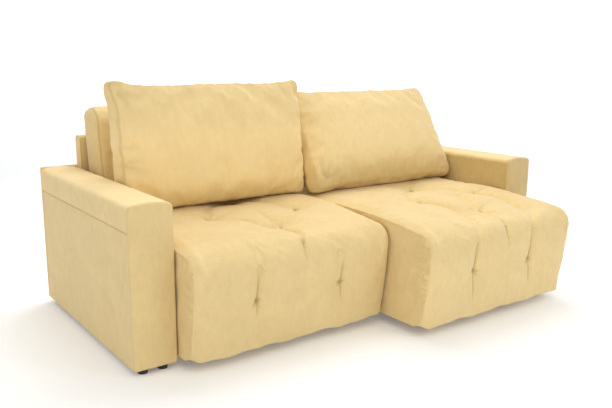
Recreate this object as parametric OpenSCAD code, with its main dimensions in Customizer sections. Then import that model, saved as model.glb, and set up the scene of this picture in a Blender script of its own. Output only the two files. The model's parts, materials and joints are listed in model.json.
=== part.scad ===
// Three-seater retractable sofa: two wide seats that pull out on casters and rollers,
// two reclining backs on ratchet hinges, two loose back pillows and two box arms.
// Millimetres. X to the viewer's right, fronts face -Y, Z up from the floor.
// The stored pose is left seat home and left back upright, right seat pulled out and right back reclined.

/* [Sofa] */
// Width over both arms
sofa_w = 2300; // [2000:10:2600]
// Depth of an arm, front to back
arm_d = 1076; // [1060:2:1110]
// Height of an arm above its feet
arm_h = 645; // [620:1:680]
// Width of an arm
arm_w = 178; // [140:1:220]
// Height of the feet under the arms
foot_h = 24; // [20:1:32]

/* [Seats] */
// Height of the seats' crown above the floor
seat_h = 518; // [500:1:530]
// How far a seat at home stands out past the arms
seat_front = 158; // [120:1:190]
// Gap behind a seat at home, to the rear frame
seat_rear_gap = 62; // [58:1:100]
// Gap between the two seats
seat_gap = 5; // [4:0.5:12]
// Gap between a seat and the arm beside it
side_gap = 3.5; // [3:0.5:8]
// Height of the seats' lower edge above the floor
hem_h = 44; // [38:1:54]
// Height of the seat pad's underside above the floor
pad_base = 352; // [345:1:360]
// Thickness of the padded side skirts
skirt_t = 12; // [8:1:16]
// Depth of a tuft
tuft_depth = 26; // [10:1:34]
// Distance of the paired tufts from the seat's middle
tuft_x = 212; // [180:1:240]
// Height of the front tufts above the floor
tuft_z = 260; // [230:1:290]
// Distance of the first top tuft behind the seat's front
tuft_first = 185; // [170:1:210]
// Distance between the rows of top tufts
tuft_pitch = 240; // [200:1:260]

/* [Slides] */
// Travel of a seat between home and fully pulled out
slide_travel = 420; // [300:10:430]
// How far the right seat is pulled out in the stored pose
right_out = 250; // [0:10:300]
// Radius of the front caster wheels
wheel_r = 25; // [22:0.5:28]
// Radius of the rear rollers
roller_r = 14; // [12:0.5:15]

/* [Backs] */
// Height of the back hinges above the seats' crown
hinge_over_h = 282; // [274:1:300]
// Lean of an upright back, degrees
back_lean = 8; // [7:0.5:9]
// Recline of the right back in the stored pose, degrees
right_recline = 24; // [0:6:24]
// Thickness of a back
back_t = 195; // [170:1:198]
// Height of a back above its hinges
back_top_h = 148; // [140:1:160]
// Gap between a seat's crown and the back above it
back_low_gap = 12; // [8:1:40]
// Gap between the ends of a back and its seat's sides
back_side_gap = 14; // [10:1:40]
// Height of the fixed rear frame above the back hinges
rear_over_h = 14; // [12:0.5:18]
// Thickness of the fixed rear frame
rear_frame_t = 64; // [60:1:66]

/* [Pillows] */
// Width of a back pillow
pillow_w = 962; // [900:1:964]
// Height of a back pillow
pillow_h = 560; // [520:1:580]
// Thickness of a pillow at its crown
pillow_t = 255; // [200:1:262]
// Width of the gusset between a pillow's two faces
gusset_w = 104; // [60:1:130]
// Lean of the left pillow, degrees
pillow_lean = 7; // [5:0.5:8]

/* [Hinges] */
// Radius of a hinge pin
pin_r = 5; // [4:0.1:6]
// Angle from one ratchet tooth to the next, degrees
tooth_step = 6; // [4:1:8]
// Tip radius of the ratchet teeth
tooth_tip_r = 48; // [44:0.5:49]
// Depth of the ratchet teeth
tooth_depth = 5; // [3:0.5:6]
// Thickness of the hinge plates
leaf_t = 4; // [3:0.5:5]

/* [Hidden] */
$fn = 48;

// Colours
suede = [0.88, 0.76, 0.55];
suede_shade = [0.78, 0.66, 0.45];
timber = [0.80, 0.66, 0.45];
steel = [0.62, 0.63, 0.65];
black_plastic = [0.08, 0.08, 0.08];
webbing_grey = [0.30, 0.30, 0.32];

// General sizes and clearances
half = 0.5;
cut_over = 2;
soft_gap = 0.3;
glue_gap = 0.2;
run_clear = 0.06;
board_t = 18;
stud_w = 45;

// Places that the whole sofa shares
arm_front_y = -(arm_d - seat_front - right_out) * half;
inner_x = sofa_w * half - arm_w;
seat_w = inner_x - seat_gap * half - side_gap;
seat_cx = seat_gap * half + seat_w * half;
seat_hx = seat_w * half;
pad_hx = seat_hx - skirt_t;
rear_y = arm_d - rear_frame_t;
seat_rear_y = rear_y - seat_rear_gap;
seat_d = seat_rear_y + seat_front;
pivot_h = seat_h + hinge_over_h;
rear_frame_h = pivot_h + rear_over_h;
back_low_h = hinge_over_h - back_low_gap;
arm_top = foot_h + arm_h;

// Arm upholstery
arm_skin_t = 12;
arm_top_t = 26;
arm_front_t = 22;
arm_corner_r = 16;
arm_edge_r = 9;
arm_crown = 3;
band_depth = 111;
band_tuck = 88;
band_inner_z = seat_h - band_tuck;
band_turn = 60;
band_far = 120;
band_steps = 5;
arm_foot_r = 22;
arm_foot_taper = 3;
arm_foot_inset = 48;

// Base between the arms
beam_w = 45;
beam_h = 70;
beam_z = 30;
beam_top = beam_z + beam_h;
rear_beam_y = rear_y - beam_w;
base_foot_r = 20;
base_foot_xs_share = 0.96;

// Runner channels and rear rollers
channel_t = 2;
channel_room = 2;
channel_inside_h = 2 * roller_r + channel_room;
channel_w = 22;
channel_h = channel_inside_h + 2 * channel_t;
bracket_t = 3;
bracket_gap = 2;
bracket_hy = 22;
bracket_top_h = 90;
bracket_low_h = 12;
roller_w = 15;
roller_play = 0.5;
axle_r = 4;
axle_head_r = 7;
axle_head_t = 2;
roller_back = 20;
roller_y = seat_rear_y - roller_back;
channel_end = 70;
mid_beam_y = roller_y - slide_travel - channel_end;
roller_z = beam_top + channel_t + soft_gap + roller_r;
side_board_x = pad_hx - board_t;
channel_x = side_board_x - bracket_t - bracket_gap - channel_w;

// Seat frame
apron_t = 108;
board_y = apron_t - seat_front;
front_board_z = hem_h + cut_over * 2;
lift_z = 60;
step_gap = 14;
step_y = mid_beam_y - step_gap;
step_z = 142;
rail_h = 45;
rail_d = 60;
strap_t = 2.5;
strap_w = 60;
strap_drop = 1;
long_straps = 6;
cross_straps = 5;
ledger_w = 30;
ledger_h = 28;
rail_top = pad_base - strap_drop - 2 * strap_t;
cross_z = rail_top + strap_t + glue_gap;
caster_y = 60;
caster_inset = 70;
fork_t = 3;
fork_gap = 1;
fork_w = 24;
fork_low_h = 9;
wheel_w = 20;
wheel_round = 4;
hub_r = 9;

// Seat pad outline: a flat rear, a falling front part, a round nose and a face that draws in below
nose_a = 88;
nose_b = 92;
crest_back = 568;
crest_drop = 36;
face_top_share = 0.753;
face_top = face_top_share * seat_h;
face_in = 42;
hem_r = 12;
rear_r = 22;
nose_steps = 6;
end_r_top = 28;
end_r_face = 50;
end_share = 0.92;
middle_shares = [0, 0.1, 0.24, 0.5, 0.78, 0.91];
side_shares = [0, 0.08, 0.18, 0.4, 0.65, 0.85, 0.93, 0.98, 1];
rear_shares = [0, 0.35, 0.65, 0.88, 0.95];
row_shares = [0, 0.085, 0.19, 0.5, 0.81, 0.915];
front_shares = [0, 0.22, 0.47, 1];
face_shares = [0.35, 0.65, 0.85, 1];
skirt_shares = [0.1, 0.25, 0.5, 0.75, 1];
tuft_r = 46;
fold_depth = 10;
fold_r = 34;
hem_wave = 5;

// Backs
pivot_gap = 16;
pivot_y = rear_y - pivot_gap;
back_rear_gap = 10;
cover_t = 3;
back_frame_d = 58;
back_rim_w = 15;
back_top_pad = 30;
back_post_w = 40;
back_corner_r = 46;
back_nose_r = 58;
back_heel_r = 26;
back_crown = 12;
back_hx = seat_hx - back_side_gap;
back_frame_hx = back_hx - back_rim_w;
back_post_x = back_frame_hx - back_post_w;
back_strap_rows = 4;

// Hinge plates
leaf_gap = 0.2;
leaf_x = back_post_x - leaf_t;
fixed_leaf_x = leaf_x - leaf_gap - leaf_t;
eye_r = 11;
pin_head_r = 9;
pin_head_t = 2.5;
teeth_first = 195;
teeth_count = 13;
neck_top_h = 3;
neck_low_h = 40;
neck_back_d = 44;
post_plate_y = 28;
post_plate_back_y = 64;
post_plate_low_h = 92;
moving_leaf_front_d = 26;
moving_leaf_rear_d = 6;
moving_leaf_low_h = 150;
pawl_lift = 0.4;
pawl_pin_r = 3;
pawl_pin_at = 62;
pawl_pin_angle = 253;
pawl_tip_angle = 267;
pawl_body_r = 6;
slot_side = 1;
slot_top_h = 30;
slot_low_h = 64;
bolt_r = 4;
bolt_head_r = 7.5;
bolt_head_t = 5;
bolt_len = 95;
leaf_bolt_len = 30;
leaf_bolt_drop = 18;

// Rear frame
rear_skin_t = 8;
rear_round_r = 20;
rear_steps = 6;
rear_post_w = 60;
rear_low = 40;
rear_core_y = rear_y + rear_skin_t;
rear_core_t = rear_frame_t - 2 * rear_skin_t;
rear_rail_h = 36;
rear_rail_z = rear_frame_h - rear_skin_t - rear_rail_h;
notch_clear = 0.4;

// Pillows
pillow_lift = soft_gap;
pillow_corner_r = 52;
pillow_draw_w = 14;
crown_power = 2.6;
crown_root = 0.62;
pillow_squash_h = 12;
pillow_ring_shares = [0.14, 0.38, 0.58, 0.74, 0.86, 0.94, 0.985, 1];
pillow_corner_steps = 5;
pillow_side_steps = 6;
pillow_round = 1.5;
pillow_left_gap = 416;
pillow_left_y = pivot_y - pillow_left_gap;
pillow_left_sink_h = 18;
pillow_right_gap = 414;
pillow_right_y = pivot_y - pillow_right_gap;
pillow_right_sink_h = 31;

module place() translate([0, arm_front_y, 0]) children();
module on_side(s) mirror([s < 0 ? 1 : 0, 0, 0]) children();
module plate_yz(x0, t) translate([x0, 0, 0]) rotate([90, 0, 90]) linear_extrude(t) children();

// How far a seat is pulled out, and how far its back is reclined, in the stored pose
function out_of(s) = s < 0 ? 0 : right_out;
function recline_of(s) = s < 0 ? 0 : right_recline;

module at_seat(s) place() translate([s * seat_cx, -out_of(s), 0]) children();
module at_back(s)
    place() translate([s * seat_cx, pivot_y, pivot_h])
        rotate([-back_lean - recline_of(s), 0, 0]) children();
module at_fixed_hinge(s) place() translate([s * seat_cx, pivot_y, pivot_h]) children();
module both_ends() for (e = [-1, 1]) on_side(e) children();

// A rectangle's outline with round corners, counter-clockwise from the right side
function round_rect(w, h, r, n) = [
    for (c = [0:3], i = [0:n])
        let (a = (c + i / n) * 90)
        [(c == 0 || c == 3 ? w - r : r) + r * cos(a), (c < 2 ? h - r : r) + r * sin(a)]
];

// Faces of a skin over rings of n points, closed by a fan round one point at each end
function loft_faces(n, rings) = concat(
    [for (k = [0:rings - 2], i = [0:n - 1])
        let (j = (i + 1) % n) each [
            [k * n + i, (k + 1) * n + i, (k + 1) * n + j],
            [k * n + i, (k + 1) * n + j, k * n + j]]],
    [for (i = [0:n - 1]) [n * rings, i, (i + 1) % n]],
    [for (i = [0:n - 1]) [n * rings + 1, (rings - 1) * n + (i + 1) % n, (rings - 1) * n + i]]
);

// A padded board w by h, t thick, with round corners, round front edges and a low crown
module padded_board(w, h, t, corner, edge, crown, heel) {
    steps = 4;
    bow_share = 0.25;
    rim_share = 0.8;
    rise = t - crown - edge;
    front = [for (k = [0:steps]) let (a = k * 90 / steps) [edge * (1 - cos(a)), rise + edge * sin(a)]];
    bow = [min(w, h) * bow_share, t - crown * (1 - rim_share)];
    back = heel > 0 ? [[heel, 0], [0, heel]] : [[0, 0]];
    layers = concat(back, front, [bow]);
    n = 4 * (steps + 1);
    points = [
        for (l = layers)
            let (r = max(corner - l[0], edge * bow_share))
            each [for (p = round_rect(w - 2 * l[0], h - 2 * l[0], r, steps))
                [p[0] + l[0], p[1] + l[0], l[1]]]
    ];
    ends = [[w * half, h * half, 0], [w * half, h * half, t]];
    polyhedron(concat(points, ends), loft_faces(n, len(layers)), convexity = 4);
}

// Arms, drawn for the right arm from its inner face outwards
module at_arm(s) place() on_side(s) translate([inner_x, 0, 0]) children();

module arm_frame(s) {
    core_x = arm_skin_t;
    core_w = arm_w - 2 * arm_skin_t;
    core_y = arm_front_t;
    core_d = arm_d - arm_front_t - arm_skin_t;
    core_top = arm_top - arm_top_t;
    color(timber) at_arm(s) {
        for (y = [core_y, core_y + core_d - board_t, core_y + (core_d - board_t) * half])
            translate([core_x, y, foot_h]) cube([core_w, board_t, core_top - board_t - glue_gap - foot_h]);
        translate([core_x, core_y, core_top - board_t]) cube([core_w, core_d, board_t]);
        bays = [
            [core_y + board_t, core_y + (core_d - board_t) * half],
            [core_y + (core_d + board_t) * half, core_y + core_d - board_t]
        ];
        for (b = bays, x = [core_x, core_x + core_w - board_t])
            difference() {
                translate([x, b[0] + glue_gap, foot_h])
                    cube([board_t, b[1] - b[0] - 2 * glue_gap, beam_top]);
                arm_bolt_holes();
            }
    }
}

module arm_side_panel(s)
    color(suede_shade) at_arm(s) {
        translate([arm_w - arm_skin_t, arm_front_t, foot_h]) rotate([90, 0, 90])
            padded_board(arm_d - arm_front_t - arm_skin_t, arm_h - band_depth, arm_skin_t,
                arm_edge_r, arm_edge_r * half, arm_crown, 0);
        translate([arm_w, arm_d - arm_skin_t, foot_h]) rotate([90, 0, 180])
            padded_board(arm_w, arm_h, arm_skin_t, arm_corner_r, arm_edge_r, arm_crown, 0);
    }

// The band wraps the arm's top and runs down its inner side to below the seat
module arm_top_band(s) {
    r = arm_corner_r;
    ri = arm_corner_r * half;
    function arc(cx, cz, rr, a0, a1) =
        [for (i = [0:band_steps])
            let (a = a0 + (a1 - a0) * i / band_steps)
            [cx + rr * cos(a), cz + rr * sin(a)]];
    out_z = arm_top - band_depth;
    in_x = arm_skin_t;
    in_top = arm_top - arm_top_t;
    outline = concat(
        [[arm_w, out_z]],
        arc(arm_w - r, arm_top - arm_crown - r, r, 0, band_turn),
        [[arm_w * half, arm_top]],
        arc(r, arm_top - arm_crown - r, r, band_far, band_far + band_turn),
        [[0, band_inner_z], [in_x, band_inner_z], [in_x, in_top]],
        [[arm_w - in_x, in_top], [arm_w - in_x, out_z]]
    );
    color(suede) at_arm(s)
        translate([0, arm_d - arm_skin_t, 0]) rotate([90, 0, 0])
            linear_extrude(arm_d - arm_front_t - arm_skin_t) polygon(outline);
}

module arm_front_facing(s)
    color(suede_shade) at_arm(s)
        translate([0, arm_front_t, foot_h]) rotate([90, 0, 0])
            padded_board(arm_w, arm_h, arm_front_t, arm_corner_r, arm_edge_r, arm_crown, 0);

module arm_inner_panel(s)
    color(suede_shade) difference() {
        at_arm(s)
            translate([0, arm_front_t, foot_h])
                cube([arm_skin_t, arm_d - arm_front_t - arm_skin_t, band_inner_z - foot_h]);
        at_arm(s) arm_bolt_holes();
    }

// Places of the bolts that pull the arms onto the ends of the beams
bolt_z = beam_z + beam_h * half;
bolt_ys = [mid_beam_y + beam_w * half, rear_beam_y + beam_w * half];
module at_arm_bolts() for (y = bolt_ys) translate([0, y, bolt_z]) rotate([0, 90, 0]) children();
module arm_bolt_holes()
    at_arm_bolts() translate([0, 0, -cut_over]) cylinder(r = bolt_r + run_clear, h = bolt_len);

module arm_feet()
    color(black_plastic) for (s = [-1, 1]) at_arm(s)
        for (y = [arm_foot_inset, arm_d - arm_foot_inset], x = [arm_foot_inset, arm_w - arm_foot_inset])
            translate([x, y, 0]) cylinder(r1 = arm_foot_r - arm_foot_taper, r2 = arm_foot_r, h = foot_h);

// Base between the arms
module base_beams()
    color(timber) place() for (y = [mid_beam_y, rear_beam_y])
        difference() {
            translate([-inner_x, y, beam_z]) cube([2 * inner_x, beam_w, beam_h]);
            for (s = [-1, 1])
                on_side(s) translate([inner_x - bolt_len * half, y + beam_w * half, bolt_z])
                    rotate([0, 90, 0]) cylinder(r = bolt_r + run_clear, h = bolt_len);
        }

module base_feet()
    color(black_plastic) place()
        for (y = [mid_beam_y, rear_beam_y], x = [-1, 0, 1])
            translate([x * inner_x * base_foot_xs_share, y + beam_w * half, 0])
                cylinder(r = base_foot_r, h = beam_z);

// Four steel channels carry the rear rollers and open towards the seats' side boards
module runner_channels()
    color(steel) place() for (s = [-1, 1]) translate([s * seat_cx, 0, 0]) both_ends()
        translate([channel_x, rear_beam_y + beam_w, beam_top]) rotate([90, 0, 0])
            linear_extrude(rear_beam_y + beam_w - mid_beam_y)
                difference() {
                    square([channel_w, channel_h]);
                    translate([channel_t, channel_t]) square([channel_w, channel_inside_h]);
                }

// Fixed frame behind the backs
module rear_frame() {
    posts = [fixed_leaf_x - rear_post_w, -fixed_leaf_x];
    color(timber) place() {
        difference() {
            translate([-inner_x + rear_skin_t, rear_core_y, rear_rail_z + glue_gap])
                cube([2 * (inner_x - rear_skin_t), rear_core_t, rear_rail_h - glue_gap]);
            for (s = [-1, 1], e = [-1, 1])
                translate([s * seat_cx + e * (fixed_leaf_x + leaf_t * half), pivot_y, pivot_h])
                    translate([-leaf_t * half - notch_clear, 0, -neck_low_h - notch_clear])
                        cube([leaf_t + 2 * notch_clear, post_plate_back_y + notch_clear,
                            neck_low_h + neck_top_h + 2 * notch_clear]);
        }
        translate([-inner_x + rear_skin_t, rear_core_y, rear_low])
            cube([2 * (inner_x - rear_skin_t), rear_core_t, rail_d - glue_gap]);
        for (s = [-1, 1], x = posts)
            difference() {
                translate([s * seat_cx + x, rear_core_y, rear_low + rail_d])
                    cube([rear_post_w, rear_core_t, rear_rail_z - rear_low - rail_d]);
                at_leaf_bolts(s) translate([0, 0, -leaf_bolt_len])
                    cylinder(r = bolt_r + run_clear, h = leaf_bolt_len + cut_over);
            }
    }
}

module rear_frame_cover() {
    r = rear_round_r;
    rise = rear_frame_h - rear_low;
    outline = concat(
        [[0, 0], [rear_frame_t, 0]],
        [for (i = [0:rear_steps])
            let (a = i * 90 / rear_steps)
            [rear_frame_t - r + r * cos(a), rise - r + r * sin(a)]],
        [for (i = [0:rear_steps])
            let (a = 90 + i * 90 / rear_steps)
            [r + r * cos(a), rise - r + r * sin(a)]]
    );
    color(suede) place() difference() {
        translate([0, rear_y, rear_low]) plate_yz(-inner_x, 2 * inner_x) polygon(outline);
        translate([-inner_x + rear_skin_t, rear_core_y, rear_low - cut_over])
            cube([2 * (inner_x - rear_skin_t), rear_core_t, rise - rear_skin_t + cut_over]);
        for (s = [-1, 1], e = [-1, 1])
            translate([s * seat_cx + e * (fixed_leaf_x + leaf_t * half), pivot_y, pivot_h])
                translate([-leaf_t * half - notch_clear, 0, -neck_low_h - notch_clear])
                    cube([leaf_t + 2 * notch_clear, rear_core_y - pivot_y + cut_over,
                        neck_low_h + neck_top_h + 2 * notch_clear]);
    }
}

// Ratchet hinge: the fixed plate has an eye, a toothed sector and a neck back to its post
function tooth_point(r, a) = [r * cos(a), r * sin(a)];
module fixed_leaf_shape() {
    root_r = tooth_tip_r - tooth_depth;
    teeth = [
        for (i = [0:teeth_count - 1])
            let (a = teeth_first + i * tooth_step)
            each [tooth_point(tooth_tip_r, a), tooth_point(root_r, a + tooth_step)]
    ];
    difference() {
        union() {
            circle(r = eye_r);
            polygon(concat([[0, 0]], teeth));
            translate([0, -neck_low_h]) square([neck_back_d, neck_low_h + neck_top_h]);
            translate([post_plate_y, -post_plate_low_h])
                square([post_plate_back_y - post_plate_y, post_plate_low_h - neck_low_h * half]);
        }
        circle(r = pin_r + run_clear);
        leaf_bolt_points() circle(r = bolt_r);
    }
}
leaf_bolt_y = (post_plate_y + post_plate_back_y) * half;
module leaf_bolt_points()
    for (k = [0, 1])
        translate([leaf_bolt_y, -post_plate_low_h + bolt_head_r * 2 + k * leaf_bolt_drop]) children();

module fixed_hinge_leaves()
    color(steel) for (s = [-1, 1]) at_fixed_hinge(s) both_ends()
        plate_yz(fixed_leaf_x, leaf_t) fixed_leaf_shape();

// Bolt axes of the fixed plates, along X, in the frame of place()
module at_leaf_bolts(s)
    translate([s * seat_cx, pivot_y, pivot_h]) both_ends()
        for (k = [0, 1])
            translate([fixed_leaf_x, leaf_bolt_y, -post_plate_low_h + bolt_head_r * 2 + k * leaf_bolt_drop])
                rotate([0, 90, 0]) children();

module frame_bolts()
    color(steel) {
        for (s = [-1, 1]) at_arm(s) at_arm_bolts() {
            translate([0, 0, arm_skin_t + board_t]) cylinder(r = bolt_head_r, h = bolt_head_t, $fn = 6);
            translate([0, 0, -bolt_len * half + cut_over])
                cylinder(r = bolt_r, h = bolt_len * half + arm_skin_t + board_t);
        }
        place() for (s = [-1, 1]) at_leaf_bolts(s) {
            translate([0, 0, leaf_t]) cylinder(r = bolt_head_r, h = bolt_head_t, $fn = 6);
            translate([0, 0, leaf_t - leaf_bolt_len]) cylinder(r = bolt_r, h = leaf_bolt_len);
        }
    }

// Seat pad outline, seen from the side, from the rear round over the nose to the hem
crest_y = crest_back - seat_front;
nose_y = nose_a - seat_front;
function crest_z(y) = seat_h - (y < crest_y ? crest_drop * pow((crest_y - y) / (crest_y - nose_y), 2) : 0);
nose_z = seat_h - crest_drop;
function between(a, b, shares) = [for (q = shares) a + (b - a) * q];
row_ys = [for (i = [0:2]) tuft_first + i * tuft_pitch - seat_front];
top_ys = concat(
    between(seat_rear_y - rear_r, row_ys[2], rear_shares),
    between(row_ys[2], row_ys[1], row_shares),
    between(row_ys[1], row_ys[0], row_shares),
    between(row_ys[0], nose_y, front_shares)
);
top_line = [for (y = top_ys) [y, crest_z(y)]];
nose_line = [
    for (i = [1:nose_steps])
        let (a = i * 90 / nose_steps)
        [nose_y - nose_a * sin(a), face_top + (nose_z - face_top) * cos(a)]
];
face_zs = concat(between(face_top, tuft_z, face_shares), between(tuft_z, hem_h + hem_r, skirt_shares));
face_line = [for (z = face_zs) [face_in * pow((face_top - z) / (face_top - hem_h), 1.6) - seat_front, z]];
rear_line = [
    [seat_rear_y, seat_h - rear_r],
    [seat_rear_y - rear_r * (1 - cos(45)), seat_h - rear_r * (1 - sin(45))]
];
hem_line = [[face_in + hem_r * half - seat_front, hem_h]];
pad_line = concat(rear_line, top_line, nose_line, face_line, hem_line);
pad_last = len(pad_line) - 1;
function unit2(v) = v / norm(v);
function turn_left(v) = [-v[1], v[0]];
pad_normals = [
    for (i = [0:pad_last])
        turn_left(unit2(pad_line[max(i - 1, 0)] - pad_line[min(i + 1, pad_last)]))
];

// Distance along the outline, zero where the nose begins, negative down the face
function run_to(i) = i == 0 ? 0 : run_to(i - 1) + norm(pad_line[i] - pad_line[i - 1]);
nose_index = len(rear_line) + len(top_ys) - 1;
pad_runs = [for (i = [0:pad_last]) run_to(nose_index) - run_to(i)];
face_tuft_run = lookup(tuft_z, [for (i = [pad_last - 1:-1:nose_index]) [pad_line[i][1], pad_runs[i]]]);
first_run = tuft_first - nose_a;

// Tufts as [x, run], and folds as pairs of such points with a depth share
tufts = [
    [-tuft_x, face_tuft_run], [tuft_x, face_tuft_run], [0, first_run],
    [-tuft_x, first_run + tuft_pitch], [tuft_x, first_run + tuft_pitch], [0, first_run + 2 * tuft_pitch]
];
fold_pairs = [[0, 3], [1, 4], [2, 3], [2, 4], [3, 5], [4, 5]];
function to_segment(p, a, b) =
    let (t = max(0, min(1, (p - a) * (b - a) / ((b - a) * (b - a)))))
    norm(p - a - (b - a) * t);
function fold_sink(p, f) = fold_depth * exp(-pow(to_segment(p, tufts[f[0]], tufts[f[1]]) / fold_r, 2));
function tuft_sink(p) =
    let (sinks = [for (t = tufts) tuft_depth * exp(-pow(norm(p - t) / tuft_r, 1.4))])
    let (folds = [for (f = fold_pairs) fold_sink(p, f)])
    max(sinks) + max(folds) * (1 - max(sinks) / tuft_depth);

// Rounding of the pad's ends, small on top and larger down the face
function end_r(run) =
    run > 0 ? end_r_top : end_r_top + (end_r_face - end_r_top) * min(1, -run / (nose_a + nose_b));
function end_sink(x, r) =
    let (e = max(0, abs(x) - pad_hx + r) * end_share / r)
    r * (1 - sqrt(1 - e * e));
half_xs = concat(between(0, tuft_x, middle_shares), between(tuft_x, pad_hx, side_shares));
pad_cells = 2 * (len(half_xs) - 1);
pad_xs = concat([for (i = [len(half_xs) - 1:-1:1]) -half_xs[i]], half_xs);

module seat_pad(s) {
    inner = [[board_y, front_board_z], [board_y, pad_base], [seat_rear_y, pad_base]];
    ring = pad_last + 1 + len(inner);
    corner = pad_last + 2;
    function pad_point(x, i) =
        let (tuft = i == 0 || i == pad_last ? 0 : tuft_sink([x, pad_runs[i]]))
        let (d = end_sink(x, end_r(pad_runs[i])) + tuft)
        let (q = pad_line[i] - pad_normals[i] * (i == pad_last ? 0 : d))
        [x, q[0], i == pad_last ? q[1] + hem_wave * (1 - cos(360 * x / pad_hx)) * half : q[1]];
    points = [
        for (x = pad_xs) each concat(
            [for (i = [0:pad_last]) pad_point(x, i)],
            [for (p = inner) [x, p[0], p[1]]])
    ];
    sides = [
        for (k = [0:pad_cells - 1], i = [0:ring - 1])
            let (j = (i + 1) % ring) each [
                [k * ring + i, k * ring + j, (k + 1) * ring + j],
                [k * ring + i, (k + 1) * ring + j, (k + 1) * ring + i]]
    ];
    caps = [
        for (i = [0:ring - 1])
            let (j = (i + 1) % ring)
            if (i != corner && j != corner) each [
                [corner, j, i],
                [pad_cells * ring + corner, pad_cells * ring + i, pad_cells * ring + j]]
    ];
    color(suede) at_seat(s) polyhedron(points, concat(sides, caps), convexity = 6);
}

// Side skirts close the pad's ends and the frame, full height only in front of the base's mid beam
module seat_side_skirts(s) {
    upper = [for (i = [0:pad_last - 1]) pad_line[i] - pad_normals[i] * (end_r(pad_runs[i]) * half)];
    front_y = upper[pad_last - 1][0];
    outline = concat(upper, [[front_y, hem_h], [step_y, hem_h], [step_y, step_z], [seat_rear_y, step_z]]);
    color(suede_shade) at_seat(s) both_ends() plate_yz(pad_hx, skirt_t) polygon(outline);
}

// Seat frame
module seat_side_boards(s)
    color(timber) at_seat(s) both_ends()
        plate_yz(side_board_x, board_t)
            polygon([
                [board_y + board_t, lift_z], [step_y, lift_z], [step_y, step_z],
                [seat_rear_y, step_z], [seat_rear_y, pad_base], [board_y + board_t, pad_base]
            ]);

module seat_front_board(s)
    color(timber) at_seat(s)
        translate([-pad_hx, board_y, front_board_z]) cube([2 * pad_hx, board_t, pad_base - front_board_z]);

module seat_cross_rails(s)
    color(timber) at_seat(s) {
        span = 2 * side_board_x;
        translate([-side_board_x, board_y + board_t, rail_top - rail_h]) cube([span, rail_d, rail_h]);
        translate([-side_board_x, seat_rear_y - rail_d, rail_top - rail_h]) cube([span, rail_d, rail_h]);
        translate([-side_board_x, caster_y - rail_d * half, lift_z]) cube([span, rail_d, rail_h]);
        translate([-side_board_x, step_y + rail_h, step_z]) cube([span, rail_h, rail_d]);
        both_ends()
            translate([side_board_x - ledger_w, board_y + board_t + rail_d + glue_gap, cross_z - ledger_h])
                cube([ledger_w, seat_d - apron_t - board_t - 2 * (rail_d + glue_gap), ledger_h]);
    }

module seat_webbing(s)
    color(webbing_grey) at_seat(s) {
        y0 = board_y + board_t;
        long_span = seat_rear_y - y0;
        inner_w = 2 * (side_board_x - ledger_w);
        for (i = [0:long_straps - 1])
            translate([-inner_w * half + (i + half) * inner_w / long_straps - strap_w * half, y0, rail_top])
                cube([strap_w, long_span, strap_t]);
        for (i = [1:cross_straps])
            translate([-side_board_x, y0 + i * long_span / (cross_straps + 1) - strap_w * half, cross_z])
                cube([2 * side_board_x, strap_w, strap_t]);
    }

// Front casters: a steel fork under the lower rail, its axle and a plastic wheel
module at_casters(s)
    at_seat(s) both_ends() translate([side_board_x - caster_inset, caster_y, wheel_r]) children();

module caster_forks(s)
    color(steel) at_casters(s) {
        ear_x = wheel_w * half + fork_gap;
        crown_z = lift_z - wheel_r;
        difference() {
            union() {
                translate([-ear_x - fork_t, -fork_w * half, crown_z - fork_t])
                    cube([2 * (ear_x + fork_t), fork_w, fork_t]);
                for (x = [-ear_x - fork_t, ear_x])
                    translate([x, -fork_w * half, -fork_low_h])
                        cube([fork_t, fork_w, crown_z + fork_low_h - fork_t]);
            }
            translate([-ear_x - 2 * fork_t, 0, 0]) rotate([0, 90, 0])
                cylinder(r = axle_r, h = 2 * (ear_x + 2 * fork_t));
        }
        rotate([0, 90, 0]) cylinder(r = axle_r, h = 2 * (ear_x + fork_t), center = true);
    }

module caster_wheels(s)
    color(black_plastic) at_casters(s) rotate([0, 90, 0])
        rotate_extrude($fn = 64) polygon([
            [axle_r + run_clear, -wheel_w * half], [hub_r, -wheel_w * half],
            [hub_r + cut_over, -wheel_w * half + cut_over],
            [wheel_r - wheel_round, -wheel_w * half + cut_over],
            [wheel_r, -wheel_w * half + wheel_round + cut_over],
            [wheel_r, wheel_w * half - wheel_round - cut_over],
            [wheel_r - wheel_round, wheel_w * half - cut_over],
            [hub_r + cut_over, wheel_w * half - cut_over],
            [hub_r, wheel_w * half], [axle_r + run_clear, wheel_w * half]
        ]);

// Rear rollers: a drop bracket on the side board with a stub axle into the runner channel
module at_rollers(s) at_seat(s) both_ends() translate([side_board_x, roller_y, roller_z]) children();
stub_len = bracket_gap + channel_w - channel_t - cut_over;
roller_x = -bracket_t - bracket_gap - roller_play - roller_w;

module roller_brackets(s)
    color(steel) at_rollers(s) {
        translate([-bracket_t, -bracket_hy, -bracket_low_h])
            cube([bracket_t, 2 * bracket_hy, bracket_top_h + bracket_low_h]);
        translate([-bracket_t - stub_len, 0, 0]) rotate([0, 90, 0]) {
            cylinder(r = axle_r, h = stub_len);
            cylinder(r = axle_head_r, h = axle_head_t);
        }
    }

module rear_rollers(s)
    color(black_plastic) at_rollers(s) translate([roller_x, 0, 0]) rotate([0, 90, 0])
        difference() {
            cylinder(r = roller_r, h = roller_w, $fn = 64);
            translate([0, 0, -cut_over]) cylinder(r = axle_r + run_clear, h = roller_w + 2 * cut_over);
        }

// Reclining backs, drawn about their hinge line and before they lean
back_frame_front = back_rear_gap - cover_t - back_frame_d;
back_frame_top = back_top_h - back_top_pad;
back_frame_low = back_low_h - back_rim_w * half;

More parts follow.
